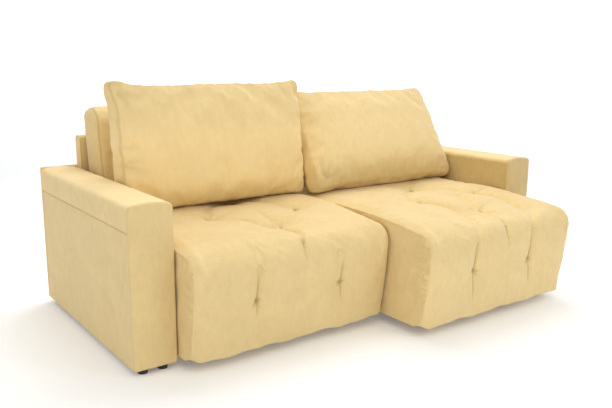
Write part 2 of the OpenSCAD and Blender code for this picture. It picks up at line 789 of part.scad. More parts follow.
module back_frame(s)
    color(timber) at_back(s) {
        tall = back_frame_top + back_frame_low;
        both_ends()
            translate([back_post_x, back_frame_front, -back_frame_low])
                cube([back_post_w, back_frame_d, tall]);
        translate([-stud_w * half, back_frame_front, -back_frame_low + stud_w + glue_gap])
            cube([stud_w, back_frame_d, tall - 2 * (stud_w + glue_gap)]);
        for (z = [-back_frame_low, back_frame_top - stud_w])
            translate([-back_post_x + glue_gap, back_frame_front, z])
                cube([2 * (back_post_x - glue_gap), back_frame_d, stud_w]);
    }

module back_webbing(s)
    color(webbing_grey) at_back(s)
        for (i = [0:back_strap_rows - 1]) {
            span = back_frame_top + back_frame_low;
            translate([-back_frame_hx, back_frame_front - strap_t,
                -back_frame_low + (i + half) * span / back_strap_rows - strap_w * half])
                cube([2 * back_frame_hx, strap_t, strap_w]);
        }

module back_pad(s)
    color(suede) at_back(s) difference() {
        translate([-back_hx, back_rear_gap, -back_low_h]) rotate([90, 0, 0])
            padded_board(2 * back_hx, back_top_h + back_low_h, back_t,
                back_corner_r, back_nose_r, back_crown, back_heel_r);
        translate([-back_frame_hx, back_frame_front - strap_t - soft_gap, -back_frame_low])
            cube([2 * back_frame_hx, back_frame_d + strap_t + soft_gap + cover_t + cut_over,
                back_frame_top + back_frame_low]);
    }

module back_rear_cover(s)
    color(suede_shade) at_back(s) difference() {
        translate([-back_frame_hx, back_rear_gap - cover_t, -back_frame_low])
            cube([2 * back_frame_hx, cover_t, back_frame_top + back_frame_low]);
        both_ends()
            translate([fixed_leaf_x - pin_head_t - slot_side,
                back_rear_gap - cover_t - cut_over, -slot_low_h])
                cube([leaf_x + leaf_t - fixed_leaf_x + pin_head_t + slot_side,
                    cover_t + 2 * cut_over, slot_low_h + slot_top_h]);
    }

module back_hinge_leaves(s)
    color(steel) at_back(s) both_ends()
        plate_yz(leaf_x, leaf_t) difference() {
            union() {
                circle(r = eye_r);
                translate([-moving_leaf_front_d, -moving_leaf_low_h])
                    square([moving_leaf_front_d + moving_leaf_rear_d, moving_leaf_low_h]);
            }
            circle(r = pin_r);
            translate(tooth_point(pawl_pin_at, pawl_pin_angle)) circle(r = pawl_pin_r);
        }

// Hinge pins with their heads, and pawls that stand lifted just clear of the teeth
module back_pawls_and_pins(s)
    color(steel) at_back(s) both_ends() {
        translate([fixed_leaf_x - leaf_gap, 0, 0]) rotate([0, 90, 0])
            cylinder(r = pin_r, h = 2 * (leaf_t + leaf_gap));
        translate([fixed_leaf_x - leaf_gap - pin_head_t, 0, 0]) rotate([0, 90, 0])
            cylinder(r = pin_head_r, h = pin_head_t);
        pin_at = tooth_point(pawl_pin_at, pawl_pin_angle);
        tip_r = tooth_tip_r + pawl_lift;
        plate_yz(fixed_leaf_x, leaf_t) {
            translate(pin_at) circle(r = pawl_body_r);
            polygon([
                tooth_point(pawl_pin_at + pawl_body_r * half, pawl_pin_angle),
                tooth_point(tip_r, pawl_tip_angle),
                tooth_point(tip_r + pawl_body_r * half, pawl_tip_angle + tooth_step * half),
                tooth_point(pawl_pin_at + pawl_body_r, pawl_pin_angle + tooth_step)
            ]);
        }
        translate([fixed_leaf_x + leaf_t, pin_at[0], pin_at[1]]) rotate([0, 90, 0])
            cylinder(r = pawl_pin_r, h = leaf_gap + leaf_t);
    }

// Pillow outline: a rectangle with round corners whose sides draw in between the corners
function pillow_outline() =
    let (hx = pillow_w * half, hz = pillow_h * half, r = pillow_corner_r)
    let (raw = [
        for (c = [0:3])
            let (sx = c == 0 || c == 3 ? 1 : -1, sz = c < 2 ? 1 : -1)
            let (cx = sx * (hx - r), cz = sz * (hz - r))
            let (next = c % 2 == 0 ? [-cx, sz * hz] : [sx * hx, -cz])
            each concat(
                [for (i = [0:pillow_corner_steps])
                    let (a = (c + i / pillow_corner_steps) * 90)
                    [cx + r * cos(a), cz + r * sin(a)]],
                [for (i = [1:pillow_side_steps - 1])
                    let (t = i / pillow_side_steps)
                    c % 2 == 0 ? [cx + (next[0] - cx) * t, sz * hz] : [sx * hx, cz + (next[1] - cz) * t]])
    ])
    [for (p = raw) [
        p[0] * (1 - pillow_draw_w / hx * (1 - pow(p[1] / hz, 2))),
        p[1] * (1 - pillow_draw_w / hz * (1 - pow(p[0] / hx, 2)))]];

// Ring of the outline drawn in to a share of its size, and rounder the further in it lies
function pillow_ring(q) =
    let (hx = pillow_w * half, hz = pillow_h * half, w = pow(q, pillow_round))
    [for (p = pillow_outline())
        let (a = atan2(p[1] / hz, p[0] / hx))
        q * [p[0] * w + hx * cos(a) * (1 - w), p[1] * w + hz * sin(a) * (1 - w)]];

// Crowned pillow, leaning back by a tilt, sunk and pressed flat where it stands on the seat
module pillow(s, centre_y, tilt, sink) {
    centre = [centre_y, seat_h + pillow_h * half * cos(tilt) + gusset_w * half * sin(tilt) - sink];
    n = len(pillow_outline());
    last = len(pillow_ring_shares) - 1;
    floor_z = seat_h + pillow_lift;
    function thick(q) =
        gusset_w * half + (pillow_t - gusset_w) * half * pow(1 - pow(q, crown_power), crown_root);
    function settle(z) =
        let (d = z - floor_z, soft = pow(d + pillow_squash_h, 2) / (4 * pillow_squash_h))
        floor_z + (d > pillow_squash_h ? d : d < -pillow_squash_h ? 0 : soft);
    function laid(x, v, w) = [
        x,
        centre[0] + w * cos(tilt) + v * sin(tilt),
        settle(centre[1] - w * sin(tilt) + v * cos(tilt))
    ];
    function face_ring(q, way) = [for (p = pillow_ring(q)) laid(p[0], p[1], way * thick(q))];
    front = [for (k = [0:last]) each face_ring(pillow_ring_shares[k], -1)];
    back = [for (k = [last:-1:0]) each face_ring(pillow_ring_shares[k], 1)];
    ends = [laid(0, 0, -pillow_t * half), laid(0, 0, pillow_t * half)];
    rings = 2 * (last + 1);
    color(suede) place() translate([s * seat_cx, 0, 0])
        polyhedron(concat(front, back, ends), loft_faces(n, rings), convexity = 4);
}

arm_frame(-1);  // left_arm_frame
arm_side_panel(-1);  // left_arm_side_panel
arm_top_band(-1);  // left_arm_top_band
arm_front_facing(-1);  // left_arm_front_facing
arm_inner_panel(-1);  // left_arm_inner_panel
arm_frame(1);  // right_arm_frame
arm_side_panel(1);  // right_arm_side_panel
arm_top_band(1);  // right_arm_top_band
arm_front_facing(1);  // right_arm_front_facing
arm_inner_panel(1);  // right_arm_inner_panel
arm_feet();
base_beams();
base_feet();
runner_channels();
rear_frame();
rear_frame_cover();
fixed_hinge_leaves();
frame_bolts();
seat_side_boards(-1);  // left_seat_side_boards
seat_front_board(-1);  // left_seat_front_board
seat_cross_rails(-1);  // left_seat_cross_rails
seat_webbing(-1);  // left_seat_webbing
seat_pad(-1);  // left_seat_pad
seat_side_skirts(-1);  // left_seat_side_skirts
caster_forks(-1);  // left_caster_forks
roller_brackets(-1);  // left_roller_brackets
caster_wheels(-1);  // left_caster_wheels
rear_rollers(-1);  // left_rear_rollers
seat_side_boards(1);  // right_seat_side_boards
seat_front_board(1);  // right_seat_front_board
seat_cross_rails(1);  // right_seat_cross_rails
seat_webbing(1);  // right_seat_webbing
seat_pad(1);  // right_seat_pad
seat_side_skirts(1);  // right_seat_side_skirts
caster_forks(1);  // right_caster_forks
roller_brackets(1);  // right_roller_brackets
caster_wheels(1);  // right_caster_wheels
rear_rollers(1);  // right_rear_rollers
back_frame(-1);  // left_back_frame
back_webbing(-1);  // left_back_webbing
back_pad(-1);  // left_back_pad
back_rear_cover(-1);  // left_back_rear_cover
back_hinge_leaves(-1);  // left_back_hinge_leaves
back_pawls_and_pins(-1);  // left_back_pawls_and_pins
back_frame(1);  // right_back_frame
back_webbing(1);  // right_back_webbing
back_pad(1);  // right_back_pad
back_rear_cover(1);  // right_back_rear_cover
back_hinge_leaves(1);  // right_back_hinge_leaves
back_pawls_and_pins(1);  // right_back_pawls_and_pins
pillow(-1, pillow_left_y, pillow_lean, pillow_left_sink_h);  // left_pillow
pillow(1, pillow_right_y, pillow_lean + right_recline, pillow_right_sink_h);  // right_pillow
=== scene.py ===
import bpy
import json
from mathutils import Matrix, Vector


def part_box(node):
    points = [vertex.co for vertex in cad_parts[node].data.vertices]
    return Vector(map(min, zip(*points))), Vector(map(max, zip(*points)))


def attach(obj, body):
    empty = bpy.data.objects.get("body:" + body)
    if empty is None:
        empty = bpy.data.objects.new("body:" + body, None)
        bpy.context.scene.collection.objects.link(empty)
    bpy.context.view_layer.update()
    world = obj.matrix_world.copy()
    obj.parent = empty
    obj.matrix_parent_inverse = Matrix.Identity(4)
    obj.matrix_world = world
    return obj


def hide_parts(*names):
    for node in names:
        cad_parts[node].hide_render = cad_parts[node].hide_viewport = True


bl_info = {
    "name": "Retractable sofa",
    "version": (1, 0, 0),
    "blender": (4, 5, 0),
    "location": "3D View > Sidebar > Sofa",
    "description": "Dresses the frame of a retractable sofa in sand-yellow suede and sets it in a studio",
    "category": "Object",
}

import json
import math

import bpy
import bmesh
import numpy as np
from mathutils import Matrix

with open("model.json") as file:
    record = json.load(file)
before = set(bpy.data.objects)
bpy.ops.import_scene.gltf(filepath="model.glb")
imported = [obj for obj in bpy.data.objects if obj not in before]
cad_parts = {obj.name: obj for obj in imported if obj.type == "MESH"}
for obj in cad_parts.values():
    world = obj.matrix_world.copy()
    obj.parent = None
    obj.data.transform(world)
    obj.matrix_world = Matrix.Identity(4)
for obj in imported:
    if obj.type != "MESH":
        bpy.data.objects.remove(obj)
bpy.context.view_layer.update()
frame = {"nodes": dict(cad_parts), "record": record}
NODES = frame["nodes"]
SIDES = {"left": -1, "right": 1}

# The drawing's zero in y is the arms' front, and this is its place in the frame
ARM_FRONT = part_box("left_arm_front_facing")[0][1]
LEFT_PAD, RIGHT_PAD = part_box("left_seat_pad"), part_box("right_seat_pad")
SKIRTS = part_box("right_seat_side_skirts")
# How far each seat stands out, its middle in x, half its width, its sides' thickness and its top's height
SEAT_OUT = {"left": 0.0, "right": LEFT_PAD[0][1] - RIGHT_PAD[0][1]}
SEAT_MIDDLE = (RIGHT_PAD[0][0] + RIGHT_PAD[1][0]) / 2
SEAT_HALF = (SKIRTS[1][0] - SKIRTS[0][0]) / 2
SKIRT = SEAT_HALF - (RIGHT_PAD[1][0] - RIGHT_PAD[0][0]) / 2
CROWN = LEFT_PAD[1][2]
# The backs' hinge line in y and z, how far each back and pillow leans, and the pillows' middles in y and z
PIVOT = (ARM_FRONT + 0.996, 0.800)
RECLINE = {"left": math.radians(8), "right": math.radians(32)}
PILLOW_TILT = {"left": math.radians(7), "right": math.radians(31)}
PILLOW_PLACE = {"left": (ARM_FRONT + 0.580, 0.784), "right": (ARM_FRONT + 0.582, 0.754)}


# Meshes


def quads_of(rows, columns, wrap_columns=False):
    """Corner numbers of the quads of a grid whose points are numbered row by row."""
    i = np.arange(rows - 1)[:, None] * columns
    j = np.arange(columns if wrap_columns else columns - 1)[None, :]
    k = (j + 1) % columns
    return np.stack([i + j, i + k, i + columns + k, i + columns + j], -1).reshape(-1, 4)


def ramp(x, width):
    """0 up to x = 0, rising evenly to 1 at x = width."""
    return np.clip(x / width, 0, 1)


def fading(x, width):
    """1 at x = 0, falling as exp(-x / width)."""
    return np.exp(-x / width)


def bell(d, width):
    """1 where d is 0, falling as exp(-(d / width)^2)."""
    return np.exp(-((d / width) ** 2))


def unit(vectors):
    """Vectors made one long along the last axis."""
    return vectors / np.maximum(np.linalg.norm(vectors, axis=-1, keepdims=True), 1e-12)


def lengths_along(line):
    """How far along a line each of its points lies."""
    return np.concatenate([[0], np.cumsum(np.linalg.norm(np.diff(line, axis=0), axis=1))])


def on_line(line, along, at):
    """What a line has at the lengths at, where its points lie at the lengths along."""
    return np.stack([np.interp(at, along, line[:, k]) for k in range(line.shape[1])], -1)


def resampled(line, count):
    """count points at even steps along a line of points."""
    line = np.asarray(line, float)
    along = lengths_along(line)
    return on_line(line, along, np.linspace(0, along[-1], count))


def arc(y, z, radius, start, count):
    """A quarter of a circle round (y, z) from the angle start on."""
    turn = start + np.linspace(0, np.pi / 2, count)
    return np.stack([y + radius * np.cos(turn), z + radius * np.sin(turn)], -1)


def ring_normals(ring):
    """Normals of a closed ring of points, outwards where it runs anticlockwise."""
    way = unit(np.roll(ring, -1, 0) - np.roll(ring, 1, 0))
    return np.stack([way[:, 1], -way[:, 0]], -1)


def rounded(p, half, radius):
    """Points of a box made round.

    With c the nearest point of the box less its radius, a point q moves to c + radius (q - c) / |q - c|.
    """
    core = np.clip(p, -half + radius, half - radius)
    out = p - core
    long = np.linalg.norm(out, axis=1, keepdims=True)
    big = np.abs(out).max(axis=1, keepdims=True)
    return core + out * np.where(long > 0, big / np.maximum(long, 1e-9), 1)


def low_high(node):
    """The low and the high corner of a node's box."""
    return [np.array(c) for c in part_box(node)]


def spaced(low, high, count, centres=(), tight=3.0, reach=0.03):
    """count places from low to high, up to tight times closer together near the centres."""
    t = np.linspace(low, high, 6000)
    density = 1 + sum((tight - 1) * bell(t - c, reach) for c in centres)
    total = np.concatenate([[0], np.cumsum((density * np.ones_like(t))[1:])])
    return np.interp(np.linspace(0, total[-1], count), total, t)


def waves(points, size, seed, count=24):
    """Smooth random field of about -1 to 1: a sum of sines along random directions, of lengths near size."""
    rng = np.random.default_rng(seed)
    way = rng.normal(size=(count, points.shape[-1]))
    way *= 2 * np.pi / size * rng.uniform(0.6, 1.5, (count, 1)) / np.linalg.norm(way, axis=1, keepdims=True)
    return np.sin(points @ way.T + rng.uniform(0, 2 * np.pi, count)).sum(-1) / math.sqrt(count / 2)


def box_lattice(a, b, c):
    """Surface of a lattice box with a, b and c cells: its points as whole numbers, and its quads.

    The six sides are grids that share their edge points, found by numbering every lattice point.
    """
    n = np.array([a, b, c])
    faces = []
    for axis in range(3):
        u, v = [k for k in range(3) if k != axis]
        i, j = np.meshgrid(np.arange(n[u]), np.arange(n[v]), indexing="ij")
        for end in (0, n[axis]):
            corners = []
            for du, dv in ((0, 0), (1, 0), (1, 1), (0, 1)):
                p = np.zeros(i.shape + (3,), int)
                p[..., axis] = end
                p[..., u] = i + du
                p[..., v] = j + dv
                corners.append(p)
            faces.append(np.stack(corners, -2).reshape(-1, 4, 3))
    faces = np.concatenate(faces)
    wide, deep = n[1] + 1, n[2] + 1
    key = (faces[..., 0] * wide + faces[..., 1]) * deep + faces[..., 2]
    unique, index = np.unique(key, return_inverse=True)
    points = np.stack([unique // (wide * deep), unique // deep % wide, unique % deep], -1)
    return points, index.reshape(-1, 4)


def soft_block(low, high, radius, cells, bulge=(0, 0, 0), ripple=0.0, seed=0):
    """Block with round edges, whose sides stand out by bulge (1 - u^2) (1 - v^2) and a small random field."""
    low, high = np.array(low, float), np.array(high, float)
    lattice, faces = box_lattice(*cells)
    middle, half = (low + high) / 2, (high - low) / 2
    share = lattice / np.array(cells) * 2 - 1
    p = rounded(share * half, half, radius)
    for axis in np.nonzero(bulge)[0]:
        u, v = [k for k in range(3) if k != axis]
        over = (1 - share[:, u] ** 2) * (1 - share[:, v] ** 2)
        side = np.where(np.abs(share[:, axis]) > 0.999, np.sign(share[:, axis]), 0)
        p[:, axis] += over * (side * bulge[axis] + np.abs(side) * ripple * waves(p, 0.16, seed))
    return p + middle, faces


def make_piece(name, points, faces, body, replaced=(), crease=None, angle=50, nap=0.0,
               material="suede"):
    """Makes a mesh of the points and faces, turns its faces outwards, and lets it ride on its body.

    Of the two point values, the first is painted shade that darkens the cloth at each point, and the second
    painted light and shade that lightens it, or darkens it below zero.
    Either is one number or a value for each point, where points missing at the end get none.
    """
    mesh = bpy.data.meshes.new(name)
    faces = [np.asarray(f) for f in (faces if isinstance(faces, list) else [faces])]
    mesh.vertices.add(len(points))
    mesh.vertices.foreach_set("co", np.asarray(points, np.float32).ravel())
    sizes = np.concatenate([np.full(len(f), f.shape[1]) for f in faces])
    mesh.loops.add(int(sizes.sum()))
    mesh.loops.foreach_set("vertex_index", np.concatenate([f.ravel() for f in faces]).astype(np.int32))
    mesh.polygons.add(len(sizes))
    mesh.polygons.foreach_set("loop_start", np.concatenate([[0], np.cumsum(sizes)[:-1]]).astype(np.int32))
    mesh.update(calc_edges=True)
    mesh.validate()
    turn = bmesh.new()
    turn.from_mesh(mesh)
    bmesh.ops.recalc_face_normals(turn, faces=turn.faces)
    turn.to_mesh(mesh)
    turn.free()
    mesh.polygons.foreach_set("use_smooth", np.ones(len(mesh.polygons), bool))
    mesh.set_sharp_from_angle(angle=math.radians(angle))
    for key, values in (("crease", crease), ("nap", nap)):
        if values is not None:
            spread = np.full(len(points), values if np.ndim(values) == 0 else 0, np.float32)
            if np.ndim(values):
                spread[:np.size(values)] = np.ravel(values)
            mesh.attributes.new(key, "FLOAT", "POINT").data.foreach_set("value", spread)
    piece = bpy.data.objects.new(name, mesh)
    bpy.context.scene.collection.objects.link(piece)
    mesh.materials.append(finish(material))
    if replaced:
        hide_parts(*replaced)
    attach(piece, body)
    return piece


def joined(parts):
    """Several (points, quads) as one."""
    points, faces, start = [], [], 0
    for p, f in parts:
        points.append(p)
        faces.append(np.asarray(f) + start)
        start += len(p)
    return np.concatenate(points), np.concatenate(faces)


def swept_ring(stations):
    """Points and faces of closed rings, one per step along, joined and closed by a fan at both ends."""
    steps, n = stations.shape[:2]
    points = stations.reshape(-1, 3)
    ends = np.stack([stations[0].mean(0), stations[-1].mean(0)])
    i = np.arange(n)
    j = (i + 1) % n
    first = np.stack([np.full(n, steps * n), j, i], -1)
    last = np.stack([np.full(n, steps * n + 1), (steps - 1) * n + i, (steps - 1) * n + j], -1)
    return np.concatenate([points, ends]), [quads_of(steps, n, True), np.concatenate([first, last])]


def slab(outer, inner):
    """Two grids of points as one thick sheet: both faces, and walls round their border."""
    rows, columns = outer.shape[:2]
    m = rows * columns
    quads = quads_of(rows, columns)
    border = np.concatenate([np.arange(columns), columns - 1 + columns * np.arange(1, rows),
                             m - 2 - np.arange(columns - 1), columns * np.arange(rows - 2, 0, -1)])
    after = np.roll(border, -1)
    walls = np.stack([border, after, after + m, border + m], -1)
    points = np.concatenate([outer.reshape(-1, 3), inner.reshape(-1, 3)])
    return points, np.concatenate([quads, quads[:, ::-1] + m, walls])


def carried(line, places, axis):
    """A grid of points: a line in two axes carried to the places along the third one."""
    at = np.repeat(places[:, None], len(line), 1)[..., None]
    flat = np.broadcast_to(line, at.shape[:2] + (2,))
    return np.concatenate([flat[..., :axis], at, flat[..., axis:]], -1)


# One stitch is a bead of two rings and two tips
BEAD_SIDES = 5
BEAD_POINTS, BEAD_FACES = 2 * BEAD_SIDES + 2, 4 * BEAD_SIDES


def stitches(line, normals, step=0.0075, length=0.0048, thick=0.00065):
    """A bead for each stitch along a line, one every step: points and triangles."""
    along = lengths_along(line)
    at = np.arange(step / 2, along[-1], step)
    place = on_line(line, along, at)
    tangent = unit(on_line(line, along, at + 0.001) - on_line(line, along, at - 0.001))
    up = on_line(normals, along, at)
    up = unit(up - tangent * (up * tangent).sum(1, keepdims=True))
    side = np.cross(tangent, up)
    turn = np.linspace(0, 2 * np.pi, BEAD_SIDES, endpoint=False)
    rings = [(far, math.cos(t), math.sin(t)) for far in (-0.3, 0.3) for t in turn]
    ahead, across, out = np.array([(-0.5, 0, 0), *rings, (0.5, 0, 0)]).T[..., None]
    points = (place[:, None] + tangent[:, None] * ahead * length
              + side[:, None] * across * thick + up[:, None] * (out * thick + thick * 0.4))
    i = np.arange(BEAD_SIDES)
    j = (i + 1) % BEAD_SIDES
    first, last = 0 * i, 0 * i + BEAD_POINTS - 1
    a, b, c, d = 1 + i, 1 + j, 1 + BEAD_SIDES + i, 1 + BEAD_SIDES + j
    one = np.concatenate([np.stack(t, -1) for t in ((first, b, a), (last, c, d), (a, b, d), (a, d, c))])
    return points.reshape(-1, 3), (one[None] + BEAD_POINTS * np.arange(len(at))[:, None, None]).reshape(-1, 3)


# Materials


class Value:
    """A shader socket that can stand in a Python sum, which then adds its Math nodes."""

    def __init__(self, maker, socket):
        self.maker, self.socket = maker, socket

    def _sum(self, operation, a, b):
        return self.maker.node("ShaderNodeMath", {"operation": operation}, {0: a, 1: b})

    def __add__(self, other):
        return self._sum("ADD", self, other)

    __radd__ = __add__

    def __sub__(self, other):
        return self._sum("SUBTRACT", self, other)

    def __rsub__(self, other):
        return self._sum("SUBTRACT", other, self)

    def __mul__(self, other):
        return self._sum("MULTIPLY", self, other)

    __rmul__ = __mul__


class Finish:
    """One material with its Principled shader, and the one method that adds any other node."""

    def __init__(self, name, **shader):
        self.material = bpy.data.materials.new(name)
        self.material.use_nodes = True
        self.tree = self.material.node_tree
        self.shader = self.tree.nodes["Principled BSDF"]
        for socket, value in shader.items():
            self.shader.inputs[socket.replace("_", " ").title().replace("Ior", "IOR")].default_value = value

    def node(self, kind, settings=None, inputs=None, output=0):
        """Adds a node of a kind with its settings, then links or sets its inputs; gives one output."""
        made = self.tree.nodes.new(kind)
        for key, value in (settings or {}).items():
            if key == "stops":
                while len(made.color_ramp.elements) < len(value):
                    made.color_ramp.elements.new(0.5)
                for element, (place, colour) in zip(made.color_ramp.elements, value):
                    element.position, element.color = place, (*colour, 1)
            else:
                setattr(made, key, value)
        for key, value in (inputs or {}).items():
            if isinstance(value, Value):
                self.tree.links.new(value.socket, made.inputs[key])
            else:
                made.inputs[key].default_value = value
        return Value(self, made.outputs[output])

    def place(self, stretch=(1, 1, 1)):
        where = self.node("ShaderNodeTexCoord", output="Object")
        return self.node("ShaderNodeMapping", {}, {"Vector": where, "Scale": stretch})

    def noise(self, where, scale, detail=2.0, rough=0.5, distortion=0.0):
        return self.node("ShaderNodeTexNoise", {}, {
            "Vector": where, "Scale": scale, "Detail": detail, "Roughness": rough, "Distortion": distortion})

    def mix(self, factor, a, b, clamp=True):
        a, b = [c if isinstance(c, Value) else (*c, 1) for c in (a, b)]
        settings = {"data_type": "RGBA", "clamp_factor": clamp}
        return self.node("ShaderNodeMix", settings, {0: factor, 6: a, 7: b}, output=2)

    def feed(self, socket, value):
        self.tree.links.new(value.socket, self.shader.inputs[socket])

    def bump(self, height, distance, strength=1.0):
        inputs = {"Height": height, "Distance": distance, "Strength": strength}
        self.feed("Normal", self.node("ShaderNodeBump", {}, inputs))


def linear(colour):
    """A colour of 0 to 255 as shown on a screen, as shader values."""
    c = np.array(colour) / 255
    return tuple(float(v) for v in np.where(c <= 0.04045, c / 12.92, ((c + 0.055) / 1.055) ** 2.4))


def suede_finish(colours):
    """Suede velvet: soft patches where the pile lies either way, finer brushing and grain, painted shade in
    the creases, and painted light and shade for each piece and region.
    """
    f = Finish("sand_suede", roughness=0.82, sheen_weight=0.35, sheen_roughness=0.45, specular_ior_level=0.25)
    f.shader.inputs["Sheen Tint"].default_value = (1.0, 0.94, 0.82, 1)
    where = f.place()
    patches = f.noise(where, 7.0, 3.0, 0.6, 0.6)
    brushed = f.noise(f.place((1.0, 1.0, 0.45)), 42.0, 3.0, 0.65, 0.4)
    grain = f.noise(where, 620.0, 2.0, 0.6)
    # Point attributes: painted shade in hollows, tuft pits, creases and seams, and painted light and shade
    # for each piece and region
    crease = f.node("ShaderNodeAttribute", {"attribute_name": "crease"}, {}, output="Fac")
    nap = f.node("ShaderNodeAttribute", {"attribute_name": "nap"}, {}, output="Fac")
    middle = np.array(colours.suede[:3])
    # The tone mixes the cloth's own random patches, brushing and grain with painted light and shade, between
    # a painted shaded and a painted lit copy of the middle colour
    tone = (patches - 0.5) * 0.42 + (brushed - 0.5) * 0.42 + (grain - 0.5) * 0.35 + nap + 0.5
    shaded, shining = middle * [0.80, 0.785, 0.755], np.minimum(middle * [1.18, 1.20, 1.24], 1)
    lit = f.mix(tone, tuple(shaded), tuple(shining), clamp=False)
    # Painted shade: the cloth darkens towards a darker olive brown where the painted shade value is high
    f.feed("Base Color", f.mix(crease, lit, tuple(middle * [0.47, 0.415, 0.28])))
    f.feed("Roughness", 0.74 + brushed * 0.16)
    f.bump(grain * 0.5 + brushed * 0.35, 0.0012, 0.5)
    return f.material


def thread_finish(colours):
    """Sewing thread, a little darker than the cloth, with a fine twist."""
    f = Finish("sewing_thread", roughness=0.6, sheen_weight=0.2)
    twist = f.noise(f.place(), 900.0, 2.0)
    cloth = np.array(colours.suede[:3])
    f.feed("Base Color", f.mix(twist, tuple(cloth * 0.62), tuple(cloth * 0.88)))
    f.bump(twist, 0.0004, 0.5)
    return f.material


def timber_finish(name, colours, along):
    """Planed softwood: long growth lines along one axis, darker late wood, fine pores, some darker boards."""
    f = Finish(name, roughness=0.62, specular_ior_level=0.3)
    stretch = [34.0, 34.0, 34.0]
    stretch[along] = 1.6
    rings = f.noise(f.place(tuple(stretch)), 1.0, 4.0, 0.55, 1.2)
    fine = f.noise(f.place(tuple(s * 7 for s in stretch)), 1.0, 3.0, 0.6)
    broad = f.noise(f.place(), 2.4, 1.0)
    base = np.array(colours.timber[:3])
    late_wood = tuple(base * [0.74, 0.64, 0.52])
    stops = [(0.30, tuple(base * 1.12)), (0.48, tuple(base)), (0.60, late_wood), (0.68, tuple(base * 1.05))]
    lines = f.node("ShaderNodeValToRGB", {"stops": stops}, {0: rings})
    f.feed("Base Color", f.mix(fine * 0.35 + broad * 0.25, lines, tuple(base * [0.80, 0.72, 0.62])))
    f.feed("Roughness", 0.52 + fine * 0.2)
    f.bump(rings * 0.5 + fine, 0.0006, 0.5)
    return f.material


def steel_finish(colours):
    """Zinc-plated pressed steel: faint spangle, rolling lines and dull handled spots."""
    f = Finish("zinc_plate", metallic=1.0, roughness=0.38)
    spangle = f.node("ShaderNodeTexVoronoi", {"feature": "F1"}, {"Vector": f.place(), "Scale": 95.0},
                     output="Distance")
    lines = f.noise(f.place((1.0, 60.0, 1.0)), 18.0, 2.0)
    dull = f.noise(f.place(), 26.0, 3.0)
    base = np.array(colours.steel[:3])
    f.feed("Base Color", f.mix(spangle * 0.8 + dull * 0.3, tuple(base * 0.82), tuple(base * 1.08)))
    f.feed("Roughness", 0.26 + dull * 0.22 + lines * 0.08)
    f.bump(lines + spangle * 0.3, 0.0002, 0.4)
    return f.material


def plastic_finish(colours):
    """Moulded black plastic with a fine spark-eroded grain and rubbed, greyer patches."""
    f = Finish("moulded_plastic", roughness=0.5, specular_ior_level=0.45)
    grain = f.noise(f.place(), 1400.0, 2.0)
    rubbed = f.noise(f.place(), 45.0, 3.0, 0.6)
    base = np.array(colours.plastic[:3])
    f.feed("Base Color", f.mix(rubbed, tuple(base * 0.8), tuple(base * 1.8 + 0.01)))
    f.feed("Roughness", 0.38 + rubbed * 0.25)
    f.bump(grain, 0.0003, 0.5)
    return f.material


def webbing_finish(colours):
    """Woven elastic: a rib across and along every 3 mm, with lighter warp lines."""
    f = Finish("elastic_webbing", roughness=0.85, sheen_weight=0.2)
    where = f.place()
    warp, weft = [
        f.node("ShaderNodeTexWave", {"wave_type": "BANDS", "bands_direction": axis},
               {"Vector": where, "Scale": 105.0, "Distortion": 0.3})
        for axis in "XY"]
    fuzz = f.noise(where, 500.0, 2.0)
    base = np.array(colours.webbing[:3])
    f.feed("Base Color", f.mix(warp * 0.35 + weft * 0.35 + fuzz * 0.3, tuple(base * 0.55), tuple(base * 1.6)))
    f.feed("Roughness", 0.78 + fuzz * 0.15)
    f.bump(warp * weft + fuzz * 0.3, 0.0007, 0.7)
    return f.material


def studio_finish(colours, name, glow):
    """Pale seamless studio paper with a very faint mottle, lit from behind by glow."""
    f = Finish(name, roughness=0.9, specular_ior_level=0.1, emission_strength=glow)
    mottle = f.noise(f.place(), 0.8, 3.0)
    base = np.array(colours.floor[:3])
    f.feed("Base Color", f.mix(mottle, tuple(base * 0.985), tuple(np.minimum(base * 1.01, 1))))
    f.shader.inputs["Emission Color"].default_value = (1, 1, 1, 1)
    return f.material


MAKERS = {
    "suede": suede_finish, "thread": thread_finish, "steel": steel_finish, "black_plastic": plastic_finish,
    "webbing": webbing_finish}
FINISHES = {}


def finish(name):
    """The named finish, made once with the present colours."""
    scene = bpy.context.scene
    colours = scene.sofa_colours
    glows = {"floor": scene.sofa_stage.floor_glow, "backdrop": 1.0}
    if name not in FINISHES:
        if name in MAKERS:
            FINISHES[name] = MAKERS[name](colours)
        elif name in glows:
            FINISHES[name] = studio_finish(colours, name, glows[name])
        else:
            FINISHES[name] = timber_finish(name, colours, "xyz".index(name[-1]))
    return FINISHES[name]


# Cloth

# Frames that the cloth gets to settle
FRAMES = 18


